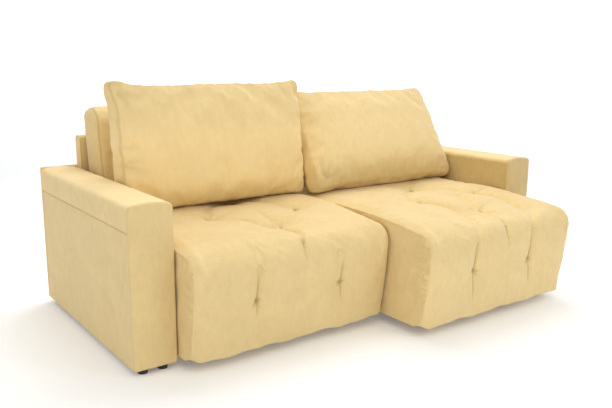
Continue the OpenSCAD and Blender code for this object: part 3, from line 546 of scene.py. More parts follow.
def simmed(points, faces, pins, gather, loose, pressure, cap):
    """Runs Cloth on points and faces, and gives the points' moves, each at most about cap long.

    pins weighs how firmly a point stays (1 fixed). The cloth between is cut larger than its form by the
    share loose, and along the seams, where gather is 1, it is drawn in by the share loose, so it puckers.
    """
    mesh = bpy.data.meshes.new("cloth")
    mesh.from_pydata([tuple(p) for p in points], [], [tuple(int(i) for i in f) for f in faces])
    body = bpy.data.objects.new("cloth", mesh)
    bpy.context.scene.collection.objects.link(body)
    for group, weights in (("pins", pins), ("gather", gather)):
        made = body.vertex_groups.new(name=group)
        for value in np.unique(np.round(weights, 2)):
            made.add([int(i) for i in np.nonzero(np.round(weights, 2) == value)[0]], float(value), "REPLACE")
    cloth = body.modifiers.new("cloth", "CLOTH")
    s = cloth.settings
    s.quality = 5
    s.mass = 0.3
    s.tension_stiffness = s.compression_stiffness = s.shear_stiffness = 22
    s.bending_stiffness = 5
    s.tension_damping = s.compression_damping = s.shear_damping = 12
    s.air_damping = 4
    s.use_pressure = pressure > 0
    s.uniform_pressure_force = pressure
    s.vertex_group_mass = "pins"
    s.pin_stiffness = 1
    s.shrink_min, s.shrink_max = -loose, loose
    s.vertex_group_shrink = "gather"
    s.effector_weights.gravity = 0
    cloth.collision_settings.use_collision = False
    cloth.collision_settings.use_self_collision = False
    cloth.point_cache.frame_start, cloth.point_cache.frame_end = 1, FRAMES
    for step in range(1, FRAMES + 1):
        bpy.context.scene.frame_set(step)
    ready = body.evaluated_get(bpy.context.evaluated_depsgraph_get()).data
    after = np.zeros(len(points) * 3, np.float32)
    ready.vertices.foreach_get("co", after)
    move = after.reshape(-1, 3) - points
    bpy.data.objects.remove(body)
    bpy.data.meshes.remove(mesh)
    bpy.context.scene.frame_set(1)
    far = np.linalg.norm(move, axis=1, keepdims=True)
    return move * cap * np.tanh(far / cap) / np.maximum(far, 1e-9)


# Seats

# Places on a cover are (across from its middle, run behind the start of the nose)
TUFTS = {
    "left": (
        (-0.204, -0.28), (0.215, -0.28), (0.05, 0.15), (-0.159, 0.402), (0.284, 0.384), (0.07, 0.641)),
    "right": (
        (-0.198, -0.266), (0.191, -0.276), (0.063, 0.157), (-0.111, 0.392), (0.314, 0.395), (0.086, 0.636)),
}
# A fold has a strength at its start and its end, and the places that it passes
FOLDS = {
    "left": (
        (1.0, 0.45, ((0.05, 0.15), (0.059, 0.251), (0.065, 0.369))),
        (1.0, 0.1, ((0.05, 0.15), (0.099, 0.171), (0.171, 0.235))),
        (0.9, 0.0, ((0.284, 0.384), (0.243, 0.315), (0.171, 0.24))),
        (0.9, 0.1, ((0.05, 0.15), (-0.001, 0.171), (-0.068, 0.262))),
        (0.8, 0.0, ((-0.159, 0.402), (-0.127, 0.326), (-0.078, 0.272))),
        (1.0, 0.15, ((-0.159, 0.402), (-0.104, 0.426), (0.007, 0.436))),
        (0.8, 0.0, ((-0.159, 0.402), (-0.122, 0.503), (-0.061, 0.564))),
        (0.8, 0.0, ((0.07, 0.641), (-0.021, 0.605), (-0.082, 0.533))),
        (0.7, 0.05, ((-0.159, 0.402), (-0.224, 0.415), (-0.334, 0.41))),
        (0.9, 0.0, ((0.284, 0.384), (0.238, 0.492), (0.169, 0.564))),
        (0.8, 0.0, ((0.07, 0.641), (0.149, 0.605), (0.208, 0.533))),
        (0.8, 0.10, ((0.284, 0.384), (0.346, 0.405), (0.426, 0.41))),
        (0.8, 0.0, ((0.05, 0.15), (0.061, 0.045), (0.035, -0.071), (0.025, -0.174))),
    ),
    "right": (
        (1.0, 1.0, ((-0.111, 0.392), (-0.055, 0.299), (-0.04, 0.209), (-0.08, 0.102), (-0.146, -0.024),
                    (-0.184, -0.101), (-0.198, -0.266))),
        (0.9, 1.0, ((0.15, 0.359), (0.1, 0.229), (0.063, 0.157))),
        (1.0, 0.25, ((0.063, 0.157), (0.046, 0.045), (0.031, -0.05), (0.01, -0.121), (0.001, -0.223))),
        (1.0, 1.0, ((0.314, 0.395), (0.351, 0.299), (0.327, 0.179), (0.265, 0.016), (0.205, -0.081),
                    (0.196, -0.172), (0.191, -0.276))),
        (1.0, 0.10, ((0.063, 0.157), (0.113, 0.174), (0.198, 0.199))),
        (0.9, 0.20, ((-0.111, 0.392), (-0.043, 0.405), (0.071, 0.39))),
        (0.9, 0.2, ((-0.111, 0.392), (-0.078, 0.499), (-0.017, 0.559))),
        (0.8, 0.2, ((0.086, 0.636), (0.023, 0.6), (-0.027, 0.549))),
        (0.8, 0.1, ((0.314, 0.395), (0.256, 0.489), (0.19, 0.559))),
        (0.8, 0.1, ((0.086, 0.636), (0.137, 0.6), (0.19, 0.559))),
        (0.6, 0.05, ((-0.111, 0.392), (-0.187, 0.42), (-0.297, 0.42))),
        (0.6, 0.05, ((0.314, 0.395), (0.4, 0.42), (0.48, 0.42))),
    ),
}
# Thin creases in the cloth below and above the tufts on the faces
CREASES = {
    "left": (((-0.204, -0.28), (-0.202, -0.19), (-0.206, -0.133)), ((-0.204, -0.28), (-0.202, -0.353)),
             ((0.215, -0.28), (0.219, -0.205), (0.224, -0.154)), ((0.215, -0.28), (0.221, -0.358)),
             ((0.05, 0.059), (0.035, -0.071), (0.025, -0.154))),
    "right": (((-0.198, -0.266), (-0.186, -0.152), (-0.184, -0.101)), ((-0.198, -0.266), (-0.202, -0.434)),
              ((0.191, -0.276), (0.199, -0.152), (0.201, -0.081)), ((0.191, -0.276), (0.196, -0.404)),
              ((0.031, -0.05), (0.01, -0.121), (0.003, -0.203))),
}
# Points of a cover from end to end and from rear to hem, before its grid is doubled
ACROSS, ALONG = 99, 166
# Where the nose begins in y, and the run below which a cover's ends draw straight back
NOSE_START, FACE_RUN = -0.070, -0.142


def seat_outline():
    """A seat cover from the side: y and z, outward normal and run of its points, from rear foot to hem.

    The rear rises to a 22 mm round edge. The top is level and falls by 36 mm in front of y = 0.410 along a
    parabola. The nose is a quarter ellipse of 88 by 92 mm. The face stands at
    y = 0.042 ((0.390 - z) / 0.346)^1.6 - 0.158, and turns under with a radius of 12 mm.
    run is the way along the cover, zero where the nose begins and less than zero down the face.
    """
    rear, edge, slope, fall = 0.950, 0.022, 0.410, 0.036
    nose, low, hem, under = 0.088, 0.390, 0.056, 0.012
    tuft_rows = (-0.277, 0.154, 0.393, 0.638)
    turn = np.linspace(0, np.pi / 2, 40)
    y = np.linspace(rear - edge, NOSE_START, 500)[1:]
    z = np.linspace(low, hem, 200)[1:]
    face = np.stack([0.042 * ((low - z) / 0.346) ** 1.6 + NOSE_START - nose, z], -1)
    behind = [
        np.stack([np.full(20, rear), np.linspace(0.354, CROWN - edge, 20)], -1),
        arc(rear - edge, CROWN - edge, edge, 0, 40)[1:],
        np.stack([y, CROWN - np.where(y < slope, fall * ((slope - y) / (slope - NOSE_START)) ** 2, 0)], -1),
    ]
    dense = np.concatenate([
        *behind,
        np.stack([NOSE_START - nose * np.sin(turn), low + (CROWN - fall - low) * np.cos(turn)], -1)[1:],
        face,
        arc(face[-1, 0] + under, hem, under, np.pi, 40)[1:],
    ])
    along = lengths_along(dense)
    start = along[sum(len(part) for part in behind) - 1]
    at = spaced(0, along[-1], ALONG, [start - row for row in tuft_rows], 1.8, 0.05)
    way = unit(on_line(dense, along, at + 0.003) - on_line(dense, along, at - 0.003))
    return on_line(dense, along, at), np.stack([way[:, 1], -way[:, 0]], -1), start - at


def to_path(p, path):
    """Distance of points from a path with its corners cut twice, and the share of its length passed there."""
    path = np.array(path, float)
    for _ in range(2):
        near, far = path[:-1] * 0.75 + path[1:] * 0.25, path[:-1] * 0.25 + path[1:] * 0.75
        path = np.concatenate([path[:1], np.stack([near, far], 1).reshape(-1, 2), path[-1:]])
    lengths = np.linalg.norm(np.diff(path, axis=0), axis=1)
    starts = np.concatenate([[0], np.cumsum(lengths)])
    best = np.full(p.shape[:-1], np.inf)
    share = np.zeros(p.shape[:-1])
    for a, b, start, long in zip(path[:-1], path[1:], starts, lengths):
        t = np.clip((p - a) @ (b - a) / long ** 2, 0, 1)
        d = np.linalg.norm(p - a - t[..., None] * (b - a), axis=-1)
        share = np.where(d < best, (start + t * long) / starts[-1], share)
        best = np.minimum(d, best)
    return best, share


def from_tufts(p, side):
    """Distance of places p on a cover from the nearest tuft."""
    return np.min([np.linalg.norm(p - tuft, axis=-1) for tuft in TUFTS[side]], axis=0)


def pit(d, broad, power, sharp):
    """1 where d is 0, falling as 0.6 exp(-(d / broad)^power) + 0.4 exp(-d / sharp)."""
    return 0.6 * np.exp(-((d / broad) ** power)) + 0.4 * fading(d, sharp)


def quilt_depth(p, side, sizes):
    """Depth of the tufts and folds at places p on a cover.

    A tuft is a pit of its depth, 50 and 14 mm wide. A fold is one of its depth and strength, 34 and 10 mm
    wide. The deepest of all counts, and on top it all is deeper by top_depth.
    """
    depth = sizes.tuft_depth * pit(from_tufts(p, side), 0.050, 1.4, 0.014)
    for start, end, path in FOLDS[side]:
        d, t = to_path(p, path)
        strength = sizes.fold_depth * (start + (end - start) * t)
        depth = np.maximum(depth, strength * pit(d, 0.034, 1.7, 0.010))
    return depth * (1 + (sizes.top_depth - 1) * ramp(p[..., 1], 0.10))


def crease_depth(p, side, seed):
    """Depth of the thin creases: lines of about 4 mm on a cover's face, and five rays round each tuft.

    A ray is 16 to 40 mm long, on the top 24 to 60 mm, and widens from 3 to 9 mm.
    """
    line_depth, line_width, ray_depth, rays = 0.0052, 0.0042, 0.0055, 5
    rng = np.random.default_rng(seed)
    depth = np.zeros(p.shape[:-1])
    for path in CREASES[side]:
        d, t = to_path(p, path)
        depth = np.maximum(depth, line_depth * (1 - t ** 2) * bell(d, line_width))
    for tuft in TUFTS[side]:
        for k in range(rays):
            turn = 2 * np.pi * (k + rng.uniform(-0.35, 0.35)) / rays
            far = rng.uniform(0.016, 0.040) * (1.5 if tuft[1] > 0 else 1)
            tip = tuft + far * np.array([math.cos(turn), math.sin(turn)])
            d, t = to_path(p, (tuft, tip))
            depth = np.maximum(depth, ray_depth * (1 - t) ** 0.8 * bell(d, 0.003 + 0.006 * t))
    return depth


def drawn_in(into, radius, share):
    """How far a round edge draws in: radius (1 - sqrt(1 - (share e)^2)) with e = into / radius."""
    e = ramp(into, radius) * share
    return radius * (1 - np.sqrt(1 - e * e))


def end_sink(x, run, half):
    """How far the cover's ends draw in, with a radius from 40 mm on top to 52 mm down the face."""
    radius = 0.040 + 0.012 * ramp(-run, 0.18)
    return drawn_in(np.abs(x) - half + radius, radius, 0.90)


def finer(grid):
    """A grid with a point between every two, at 9/16 of its two neighbours less 1/16 of the next two."""
    for axis in (0, 1):
        g = np.moveaxis(grid, axis, 0)
        padded = np.concatenate([2 * g[:1] - g[1:2], g, 2 * g[-1:] - g[-2:-1]])
        between = (9 * (padded[1:-2] + padded[2:-1]) - padded[:-3] - padded[3:]) / 16
        both = np.zeros((2 * len(g) - 1,) + g.shape[1:])
        both[::2], both[1::2] = g, between
        grid = np.moveaxis(both, 0, axis)
    return grid


def hollows(grid, reach):
    """How far each point of a grid lies below the mean of its neighbours reach steps away."""
    normal = unit(np.cross(np.gradient(grid, axis=0), np.gradient(grid, axis=1)))
    mean = np.zeros_like(grid)
    for axis in (0, 1):
        for way in (-reach, reach):
            index = np.clip(np.arange(grid.shape[axis]) + way, 0, grid.shape[axis] - 1)
            mean += np.take(grid, index, axis=axis) / 4
    return ((mean - grid) * normal).sum(-1)


def cover_move(start, place, inside, side, sizes):
    """The move by which Cloth fills a coarse cover, whose tufts, folds and edges are held."""
    held = bell(from_tufts(place, side), 0.011)
    for strong, weak, path in FOLDS[side]:
        d, t = to_path(place, path)
        held = np.maximum(held, 0.35 * (strong + (weak - strong) * t) ** 3 * bell(d, 0.009))
    edge = np.ones(held.shape, bool)
    edge[1:-1, 1:-1] = False
    held = np.where(edge, 1, np.where(held < 0.01, 0, held))
    tight = 0.5 * np.clip(1 - inside, 0, 1)
    move = simmed(start.reshape(-1, 3), quads_of(ACROSS, ALONG), held.ravel(), tight.ravel(),
                  sizes.seat_slack, sizes.seat_pressure, sizes.seat_cap).reshape(start.shape)
    return move


def quilted_cover(side, sizes):
    """A cover's grid of points before it takes its place, its painted shade in the hollows, tuft pits and
    thin creases, and its runs.

    A coarse cover, sunk by quilt_depth and by a swell that dies out at its edges, is filled by Cloth and
    held to about 5 mm above the outline. Then the grid is doubled, its thin creases are cut, and its hem
    is waved.
    """
    s, half, most_over = SIDES[side], SEAT_HALF - 0.004, 0.005
    line, normals, run = seat_outline()
    x = spaced(-half, half, ACROSS, (-0.19, 0.05, 0.25, -half, half), 1.8, 0.04)
    place = np.stack(np.meshgrid(x, run, indexing="ij"), -1)
    gx, gr = place[..., 0], place[..., 1]
    outline, normal = carried(line, x, 0), carried(normals, 0 * x, 0)
    inside = ramp(gr - run[-1], 0.08) * ramp(run[0] - gr, 0.10) * ramp(half - np.abs(gx), 0.06)
    sink = (quilt_depth(place, side, sizes) + sizes.seat_swell) * inside
    drawn = np.where(gr[..., None] < FACE_RUN, [0.0, -1.0, 0.0], normal)
    start = outline - normal * sink[..., None] - drawn * end_sink(gx, gr, half)[..., None]
    start = start + normal * (0.0004 * waves(place, 0.15, 17 + s) * inside)[..., None]
    move = cover_move(start, place, inside, side, sizes)
    over = np.maximum(((start + move - outline) * normal).sum(-1), 0)
    move = move - normal * (over - most_over * np.tanh(over / most_over))[..., None]

    grid, place, normal, inside = [finer(g) for g in (start + move, place, normal, inside[..., None])]
    gx, gr, inside = place[..., 0], place[..., 1], inside[..., 0]
    from_end = np.abs(gx) - half
    thin = crease_depth(place, side, 11 + s)
    soft = 0.0006 * waves(place * [1, 0.8], 0.14, 5 + s) + 0.0002 * waves(place, 0.045, 9 + s)
    near_end = ramp(from_end + 0.08, 0.08) * (gr < -0.05)
    tug = 0.0024 * near_end ** 2 * waves(place * [0.25, 1.0], 0.040, 31 + s)
    grid = grid - normal * ((thin + (soft + tug) * sizes.wrinkle) * inside)[..., None]
    low = ramp(0.12 - grid[..., 2], 0.08)
    hem = 0.0035 * np.sin(21 * gx + s) + 0.002 * np.sin(47 * gx + 1)
    end = ramp(from_end + 0.042, 0.042)
    grid[..., 2] += low * (hem + 0.004 + 0.034 * (1 - np.sqrt(1 - 0.95 * end * end)))
    # Painted shade: darker in the hollows of the cloth, in the tuft pits (more on top) and along the thin
    # creases
    dark = np.clip(hollows(grid, 2) / 0.004 - 0.15, 0, 1) * 0.5
    dark = dark + (0.45 + 0.25 * (gr > 0)) * bell(from_tufts(place, side), 0.011)
    return grid, np.clip(dark + 110 * thin, 0, 0.9) * inside, gr[0]


def seat_cover(side, sizes):
    """The tufted cover with its foam: the quilted grid closed round the foam and by a fan at both ends."""
    grid, dark, run = quilted_cover(side, sizes)
    count = len(grid)
    front, rear, low, high = -0.0505, 0.949, 0.049, 0.3525
    inner = np.array([[front, low], [front, high], [rear, high]])
    extra = np.concatenate([np.repeat(grid[:, :1, :1], 3, 1), np.repeat(inner[None], count, 0)], -1)
    ring = np.concatenate([grid, extra], 1)
    n = ring.shape[1]
    corner = n - 2
    i = np.arange(n)
    j = (i + 1) % n
    keep = (i != corner) & (j != corner)
    i, j = i[keep], j[keep]
    last = (count - 1) * n
    caps = np.concatenate([np.stack([np.full(len(i), corner), j, i], -1),
                           np.stack([np.full(len(i), last + corner), last + i, last + j], -1)])
    points = ring.reshape(-1, 3) + [SIDES[side] * SEAT_MIDDLE, ARM_FRONT - SEAT_OUT[side], 0]
    # Painted light and shade by run: the face, a painted highlight over the nose, and the top
    region_painted_light = [sizes.seat_face_painted_light[side == "right"], sizes.seat_nose_painted_light, 0, sizes.seat_top_painted_light]
    nap = np.pad(np.interp(run, [-0.30, -0.06, 0.06, 0.30], region_painted_light), (0, 3))
    crease = np.pad(dark, ((0, 0), (0, 3)))
    make_piece(f"{side}_seat_cover", points, [quads_of(count, n, True), caps], f"{side}_seat",
               (f"{side}_seat_pad",), crease=crease, nap=np.tile(nap, count))
    return grid[0], grid[-1]


def seat_side_panel(end, rim, sizes):
    """One side panel: ruled between the cover's end and its own lower edge, rolled in by 5 mm along its seam.

    The lower edge starts at the hem, falls to z = 0.046 in a 40 mm curve, steps up at y = 0.4225 over the
    base, and runs on to the rear. The front strip is tugged into small wrinkles.
    """
    low, step, over, rear, columns = 0.046, 0.4225, 0.1425, 0.949, 240
    start = rim[-1, 1:]
    foot = np.array([start[0] + 0.040, low])
    curve = foot + (start - foot) * np.cos(np.linspace(0, np.pi / 2, 12))[:, None] ** [1, 2]
    lower = resampled(np.concatenate([curve, [[step, low], [step, over], [rear, over]]]), columns)
    upper = resampled(rim[::-1, 1:], columns)
    t = np.linspace(0, 1, 60)[:, None] ** 1.5
    flat = upper[:, None] * (1 - t) + lower[:, None] * t
    away = np.linalg.norm(upper - lower, axis=1)[:, None] * t[:, 0][None]
    roll = 0.0050 * fading(away, 0.006)
    ahead = flat[..., 0] - rim[:, 1].min()
    tug = 0.0034 * fading(ahead, 0.045) * np.abs(waves(flat * [0.35, 1.0], 0.045, 77 + end)) * sizes.wrinkle
    soft = 0.0010 * np.abs(waves(flat * [1.0, 0.4], 0.10, 41 + end)) * sizes.wrinkle
    out = SEAT_HALF - 0.0006 - roll - (tug + soft) * ramp(away, 0.01)
    outer = np.stack([out * end, flat[..., 0], flat[..., 1]], -1)
    inner = np.stack([np.full(out.shape, (SEAT_HALF - SKIRT + 0.0004) * end), flat[..., 0], flat[..., 1]], -1)
    # Painted shade along the seam and in the tugged wrinkles
    dark = 0.45 * fading(away, 0.0035) + 50 * tug
    points, faces = slab(outer, inner)
    return points, faces, np.concatenate([dark.ravel(), np.zeros(dark.size)])


class SOFA_OT_seats(bpy.types.Operator):
    """Both seats' tufted covers and their side panels"""

    bl_idname = "sofa.seats"
    bl_label = "Cover the seats"

    def execute(self, context):
        sizes = context.scene.sofa_sizes
        for side, s in SIDES.items():
            first, last = seat_cover(side, sizes)
            parts = [seat_side_panel(-1, first, sizes), seat_side_panel(1, last, sizes)]
            points, faces = joined([p[:2] for p in parts])
            points = points + [s * SEAT_MIDDLE, ARM_FRONT - SEAT_OUT[side], 0]
            # The side panels carry painted shade along their seams and wrinkles, and are painted a little
            # darker all over
            make_piece(f"{side}_seat_sides", points, faces, f"{side}_seat", (f"{side}_seat_side_skirts",),
                       crease=np.concatenate([p[2] for p in parts]), nap=-0.05)
        return {"FINISHED"}


# Pillows

PILLOW_CELLS = (104, 62, 12)
PILLOW_SEED = {"left": 101, "right": 202}
# How far the upper edge is raised, how far the gusset stands out, and how dark the painted shade along the
# seams is
TOP_LIFT = {"left": 0.010, "right": 0.0}
GUSSET_BULGE = {"left": 0.005, "right": 0.012}
SEAM_PAINTED_SHADE = {"left": 0.28, "right": 0.15}
# An ear is the corner's place, how far it stands out, and the share by which it is pinched thinner
EARS = {
    "left": ((-1, 1, 0.032, 0.40), (1, 1, 0.018, 0.25), (-1, -1, 0.0, 0.20), (1, -1, 0.002, 0.10)),
    "right": ((-1, 1, 0.004, 0.20), (1, 1, 0.010, 0.25), (-1, -1, 0.006, 0.35), (1, -1, 0.004, 0.10)),
}
# A groove is the depth of its start and the places that it passes, across and up from the pillow's middle
GROOVES = {
    "left": (
        (0.007, ((-0.470, -0.070), (-0.430, -0.075), (-0.370, -0.110))),
        (0.006, ((-0.470, -0.060), (-0.430, -0.045), (-0.380, -0.050))),
        (0.005, ((-0.470, 0.015), (-0.440, 0.010), (-0.400, 0.020))),
        (0.007, ((-0.462, 0.245), (-0.440, 0.215), (-0.415, 0.150))),
        (0.006, ((-0.462, 0.245), (-0.425, 0.235), (-0.350, 0.225))),
        (0.005, ((0.462, 0.240), (0.435, 0.210), (0.400, 0.160))),
    ),
    "right": (
        (0.012, ((-0.425, -0.225), (-0.440, -0.190), (-0.430, -0.120))),
        (0.010, ((-0.425, -0.225), (-0.405, -0.180), (-0.385, -0.140))),
        (0.009, ((-0.425, -0.225), (-0.380, -0.215), (-0.320, -0.190))),
        (0.005, ((0.462, 0.240), (0.430, 0.215), (0.370, 0.190))),
        (0.005, ((-0.450, 0.240), (-0.410, 0.200), (-0.390, 0.150))),
    ),
}


def pillow_form(sizes, side, seed):
    """A pillow before it leans: lattice points, quads, a mask of its two seams, and the lattice.

    a across and b up go from -1 to 1. The outline is a rectangle with 46 mm corners whose ends draw in by
    3 mm (1 - b^6) and whose other sides by 10 mm (1 - a^6), and whose ears stand out by ear exp(-(d / 65)^2).
    Each face stands out by its crown times ((1 - |a|^2.8) (1 - |c|^2.8))^0.55 with c = b + 0.16 (1 - b^2), so
    that it is fullest below its middle, and it puckers beside the seams.
    """
    half, gusset = np.array([0.4805, 0.2795]), 0.052
    lattice, faces = box_lattice(*PILLOW_CELLS)
    share = lattice / np.array(PILLOW_CELLS) * 2 - 1
    a, b, c = share.T
    face = np.abs(c) > 0.999
    rim = np.maximum(np.abs(a), np.abs(b)) > 0.999
    p = rounded(share[:, :2] * half, half, 0.046)
    p = p * (1 - [0.003, 0.010] / half * (1 - share[:, [1, 0]] ** 6))
    p[:, 1] += TOP_LIFT[side] * np.clip(b, 0, 1) ** 2
    thin = np.ones(len(p))
    for across, up, ear, pinch in EARS[side]:
        d = np.linalg.norm(p - half * [across, up], axis=1)
        p = p + ear * bell(d, 0.065)[:, None] * np.array([across, up]) / math.sqrt(2)
        thin = thin * (1 - pinch * bell(d, 0.060))
    lower = b + 0.16 * (1 - b * b)
    crown = ((1 - np.abs(a) ** 2.8) * (1 - np.abs(lower) ** 2.8)) ** 0.55
    to_seam = np.minimum((1 - np.abs(a)) * half[0], (1 - np.abs(b)) * half[1])
    pucker = 0.0016 * fading(to_seam, 0.022) * (1 - fading(to_seam, 0.006)) * waves(p, 0.050, seed)
    full = gusset + sizes.pillow_crown * crown + pucker * sizes.wrinkle
    depth = c * thin * np.where(face, full, gusset)
    ripple = 0.0015 * waves(np.stack([p[:, 0], p[:, 1], depth], -1), 0.07, seed + 1)
    bulge = GUSSET_BULGE[side] * (1 - c * c) + ripple
    p = p + unit(p) * np.where(rim, bulge - 0.003, 0)[:, None]
    return np.stack([p[:, 0], depth, p[:, 1]], -1), faces, rim & face, lattice


def groove_depth(form, side):
    """Depth of the grooves towards the seams on a pillow's front, from 8 mm wide to 18 at their end."""
    depth = np.zeros(len(form))
    for deep, path in GROOVES[side]:
        d, t = to_path(form[:, [0, 2]], path)
        depth = np.maximum(depth, deep * (1 - t) ** 0.8 * bell(d, 0.008 + 0.010 * t))
    return depth * (form[:, 1] < 0)


def pillow_leaning(points, side):
    """Turns pillow points back by its tilt, and presses what would sink into the seat flat on it."""
    tilt = PILLOW_TILT[side]
    y, z = PILLOW_PLACE[side]
    c, s = math.cos(tilt), math.sin(tilt)
    floor, squash = CROWN + 0.0003, 0.012
    up = z - points[:, 1] * s + points[:, 2] * c
    over = up - floor
    soft = (over + squash) ** 2 / (4 * squash)
    pressed = floor + np.where(over > squash, over, np.where(over < -squash, 0, soft))
    x = points[:, 0] + SIDES[side] * SEAT_MIDDLE
    return np.stack([x, y + points[:, 1] * c + points[:, 2] * s, pressed], -1)


def ring_of(lattice, k, inset=0):
    """Numbers of the lattice points round the outline at depth row k, inset by whole cells, in order."""
    a0, a1, b0, b1 = inset, PILLOW_CELLS[0] - inset, inset, PILLOW_CELLS[1] - inset
    order = ([(i, b0) for i in range(a0, a1)] + [(a1, j) for j in range(b0, b1)]
             + [(i, b1) for i in range(a1, a0, -1)] + [(a0, j) for j in range(b1, b0, -1)])
    number = {tuple(p): i for i, p in enumerate(lattice.tolist())}
    return np.array([number[(i, j, k)] for i, j in order])


def pillow_stitches(shape, normals, lattice):
    """Stitches beside each seam, on the gusset and on the face, where they clear the seat by 4 mm."""
    rows = []
    for k, step in ((0, 1), (PILLOW_CELLS[2], -1)):
        ring, gusset, inside = ring_of(lattice, k), ring_of(lattice, k + step), ring_of(lattice, k, 1)
        face = inside[[np.argmin(np.linalg.norm(shape[inside] - shape[r], axis=1)) for r in ring]]
        closed = np.append(np.arange(len(ring)), 0)
        for other, share in ((gusset, 0.75), (face, 0.65)):
            line = shape[ring] * (1 - share) + shape[other] * share
            rows.append(stitches(line[closed], normals[other][closed]))
    points, beads = joined(rows)
    clear = points.reshape(-1, BEAD_POINTS, 3)[:, :, 2].min(1) > CROWN + 0.004
    used, index = np.unique(beads[np.repeat(clear, BEAD_FACES)], return_inverse=True)
    return points[used], index.reshape(-1, 3)


class SOFA_OT_pillows(bpy.types.Operator):
    """Both loose back pillows: cloth cut larger than its filling, gathered along the two gusset seams"""

    bl_idname = "sofa.pillows"
    bl_label = "Make the pillows"

    def execute(self, context):
        sizes = context.scene.sofa_sizes
        for side in SIDES:
            seed = PILLOW_SEED[side]
            form, faces, seam, lattice = pillow_form(sizes, side, seed)
            start = form + np.stack([waves(form, 0.14, seed + k) for k in range(3)], -1) * 0.0009
            move = simmed(start, faces, seam * 0.55, seam * 1.0, sizes.pillow_slack, sizes.pillow_pressure,
                          sizes.pillow_cap)
            groove = groove_depth(form, side)
            shape = pillow_leaning(start + move + groove[:, None] * [0, 1, 0], side)
            # Painted shade in the grooves and along the seams
            dark = np.clip(35 * groove, 0, 0.5)
            dark[seam] = SEAM_PAINTED_SHADE[side]
            # Painted light and shade: each pillow painted lighter, darker along its upper edge, and painted
            # shade along its rolled lower edge
            up = lattice[:, 1] / PILLOW_CELLS[1]
            nap = sizes.pillow_painted_light[side == "right"] + sizes.pillow_top_painted_light * ramp(up - 0.55, 0.45)
            nap = nap + sizes.pillow_low_painted_light * ramp(0.20 - up, 0.15)
            pillow = make_piece(f"{side}_pillow_cover", shape, faces, f"{side}_pillow", (f"{side}_pillow",),
                                crease=dark, angle=180, nap=nap)
            smooth = pillow.modifiers.new("smooth", "SUBSURF")
            smooth.levels = smooth.render_levels = 1
            normals = np.zeros(shape.size, np.float32)
            pillow.data.vertices.foreach_get("normal", normals)
            points, beads = pillow_stitches(shape, normals.reshape(-1, 3), lattice)
            make_piece(f"{side}_pillow_stitches", points, beads, f"{side}_pillow", material="thread")
        return {"FINISHED"}


# Backs


def back_form(sizes, seed):
    """A back before it leans: a ring with a bullet-round top carried across, drawn in round its ends.

    The ring stands 183 mm deep, with radii of 55 mm behind the top, 92 mm before it and 42 and 48 mm below.
    Its front bulges by 12 mm times (1 - x^2) (1 - z^2), and a sewn seam runs round 16 mm from each end.
    """
    front, rear, low, top, seam = -0.173, 0.010, -0.270, 0.148, 0.016
    ring = resampled(np.concatenate([
        arc(rear - 0.042, low + 0.042, 0.042, -np.pi / 2, 22),
        np.stack([np.full(40, rear), np.linspace(low + 0.044, top - 0.057, 40)], -1),
        arc(rear - 0.055, top - 0.055, 0.055, 0, 22),
        arc(front + 0.092, top - 0.092, 0.092, np.pi / 2, 22),
        np.stack([np.full(60, front), np.linspace(top - 0.094, low + 0.050, 60)], -1),
        arc(front + 0.048, low + 0.048, 0.048, np.pi, 22),
    ]), 190)
    normals = ring_normals(ring)
    ahead = normals[None, :, 0]
    half = SEAT_HALF - 0.014
    x = spaced(-half, half, 150, (-half, half), 5.0, 0.05)
    flat = carried(ring, x, 0)
    gx = flat[..., 0]
    from_end = np.abs(gx) - half
    sink = drawn_in(from_end + 0.040, 0.040, 0.985) + 0.0035 * bell(from_end + seam, 0.0035)
    middle = (flat[..., 2] + 0.06) / 0.21
    bulge = 0.012 * (1 - (gx / half) ** 2) * np.clip(1 - middle ** 2, 0, 1) * np.clip(-ahead, 0, 1)
    ripple = (0.0016 * waves(flat, 0.13, seed) + 0.0007 * waves(flat, 0.05, seed + 1)) * sizes.wrinkle
    move = bulge - sink - np.abs(ripple * np.clip(1 - ahead, 0.15, 1))
    # The second value is painted shade along the sewn seams
    return flat + carried(normals, 0 * x, 0) * move[..., None], 0.35 * bell(from_end + seam, 0.004)


class SOFA_OT_backs(bpy.types.Operator):
    """Both reclining backs' padded shells"""

    bl_idname = "sofa.backs"
    bl_label = "Pad the backs"

    def execute(self, context):
        sizes = context.scene.sofa_sizes
        for side, s in SIDES.items():
            grid, dark = back_form(sizes, 51 + s)
            points, faces = swept_ring(grid)
            lean = RECLINE[side]
            y = PIVOT[0] + points[:, 1] * math.cos(lean) + points[:, 2] * math.sin(lean)
            z = PIVOT[1] - points[:, 1] * math.sin(lean) + points[:, 2] * math.cos(lean)
            points = np.stack([points[:, 0] + s * SEAT_MIDDLE, y, z], -1)
            make_piece(f"{side}_back_cover", points, faces, f"{side}_back", (f"{side}_back_pad",),
                       crease=dark, angle=60)
        return {"FINISHED"}


# Arms and rear

# Height of the seam between an arm's outer panel and its top band
ARM_SEAM = 0.558


def outer_and_inner(low, high, side):
    """x of the outer and of the inner side of an arm's box."""
    return (high[0], low[0]) if side == "right" else (low[0], high[0])


def over_arm(outer_x, inner_x, outer_z, inner_z, top_z):
    """Line over an arm: up its outer side, over a 6 mm crown between 22 mm corners, down its inner side."""
    way = np.sign(outer_x - inner_x)
    turn = np.linspace(0, np.pi / 2, 16)
    r, crown = 0.022, 0.006
    shoulder = top_z - crown - r
    middle, half = (outer_x + inner_x) / 2, abs(outer_x - inner_x) / 2 - r
    x = np.linspace(-half, half, 30)[1:-1]
    return resampled(np.concatenate([
        [[outer_x, outer_z]],
        np.stack([outer_x - way * r * (1 - np.cos(turn)), shoulder + r * np.sin(turn)], -1),
        np.stack([middle - way * x, top_z - crown * (x / half) ** 2], -1),
        np.stack([inner_x + way * r * (1 - np.sin(turn)), shoulder + r * np.cos(turn)], -1),
        [[inner_x, inner_z]],
    ]), 170)


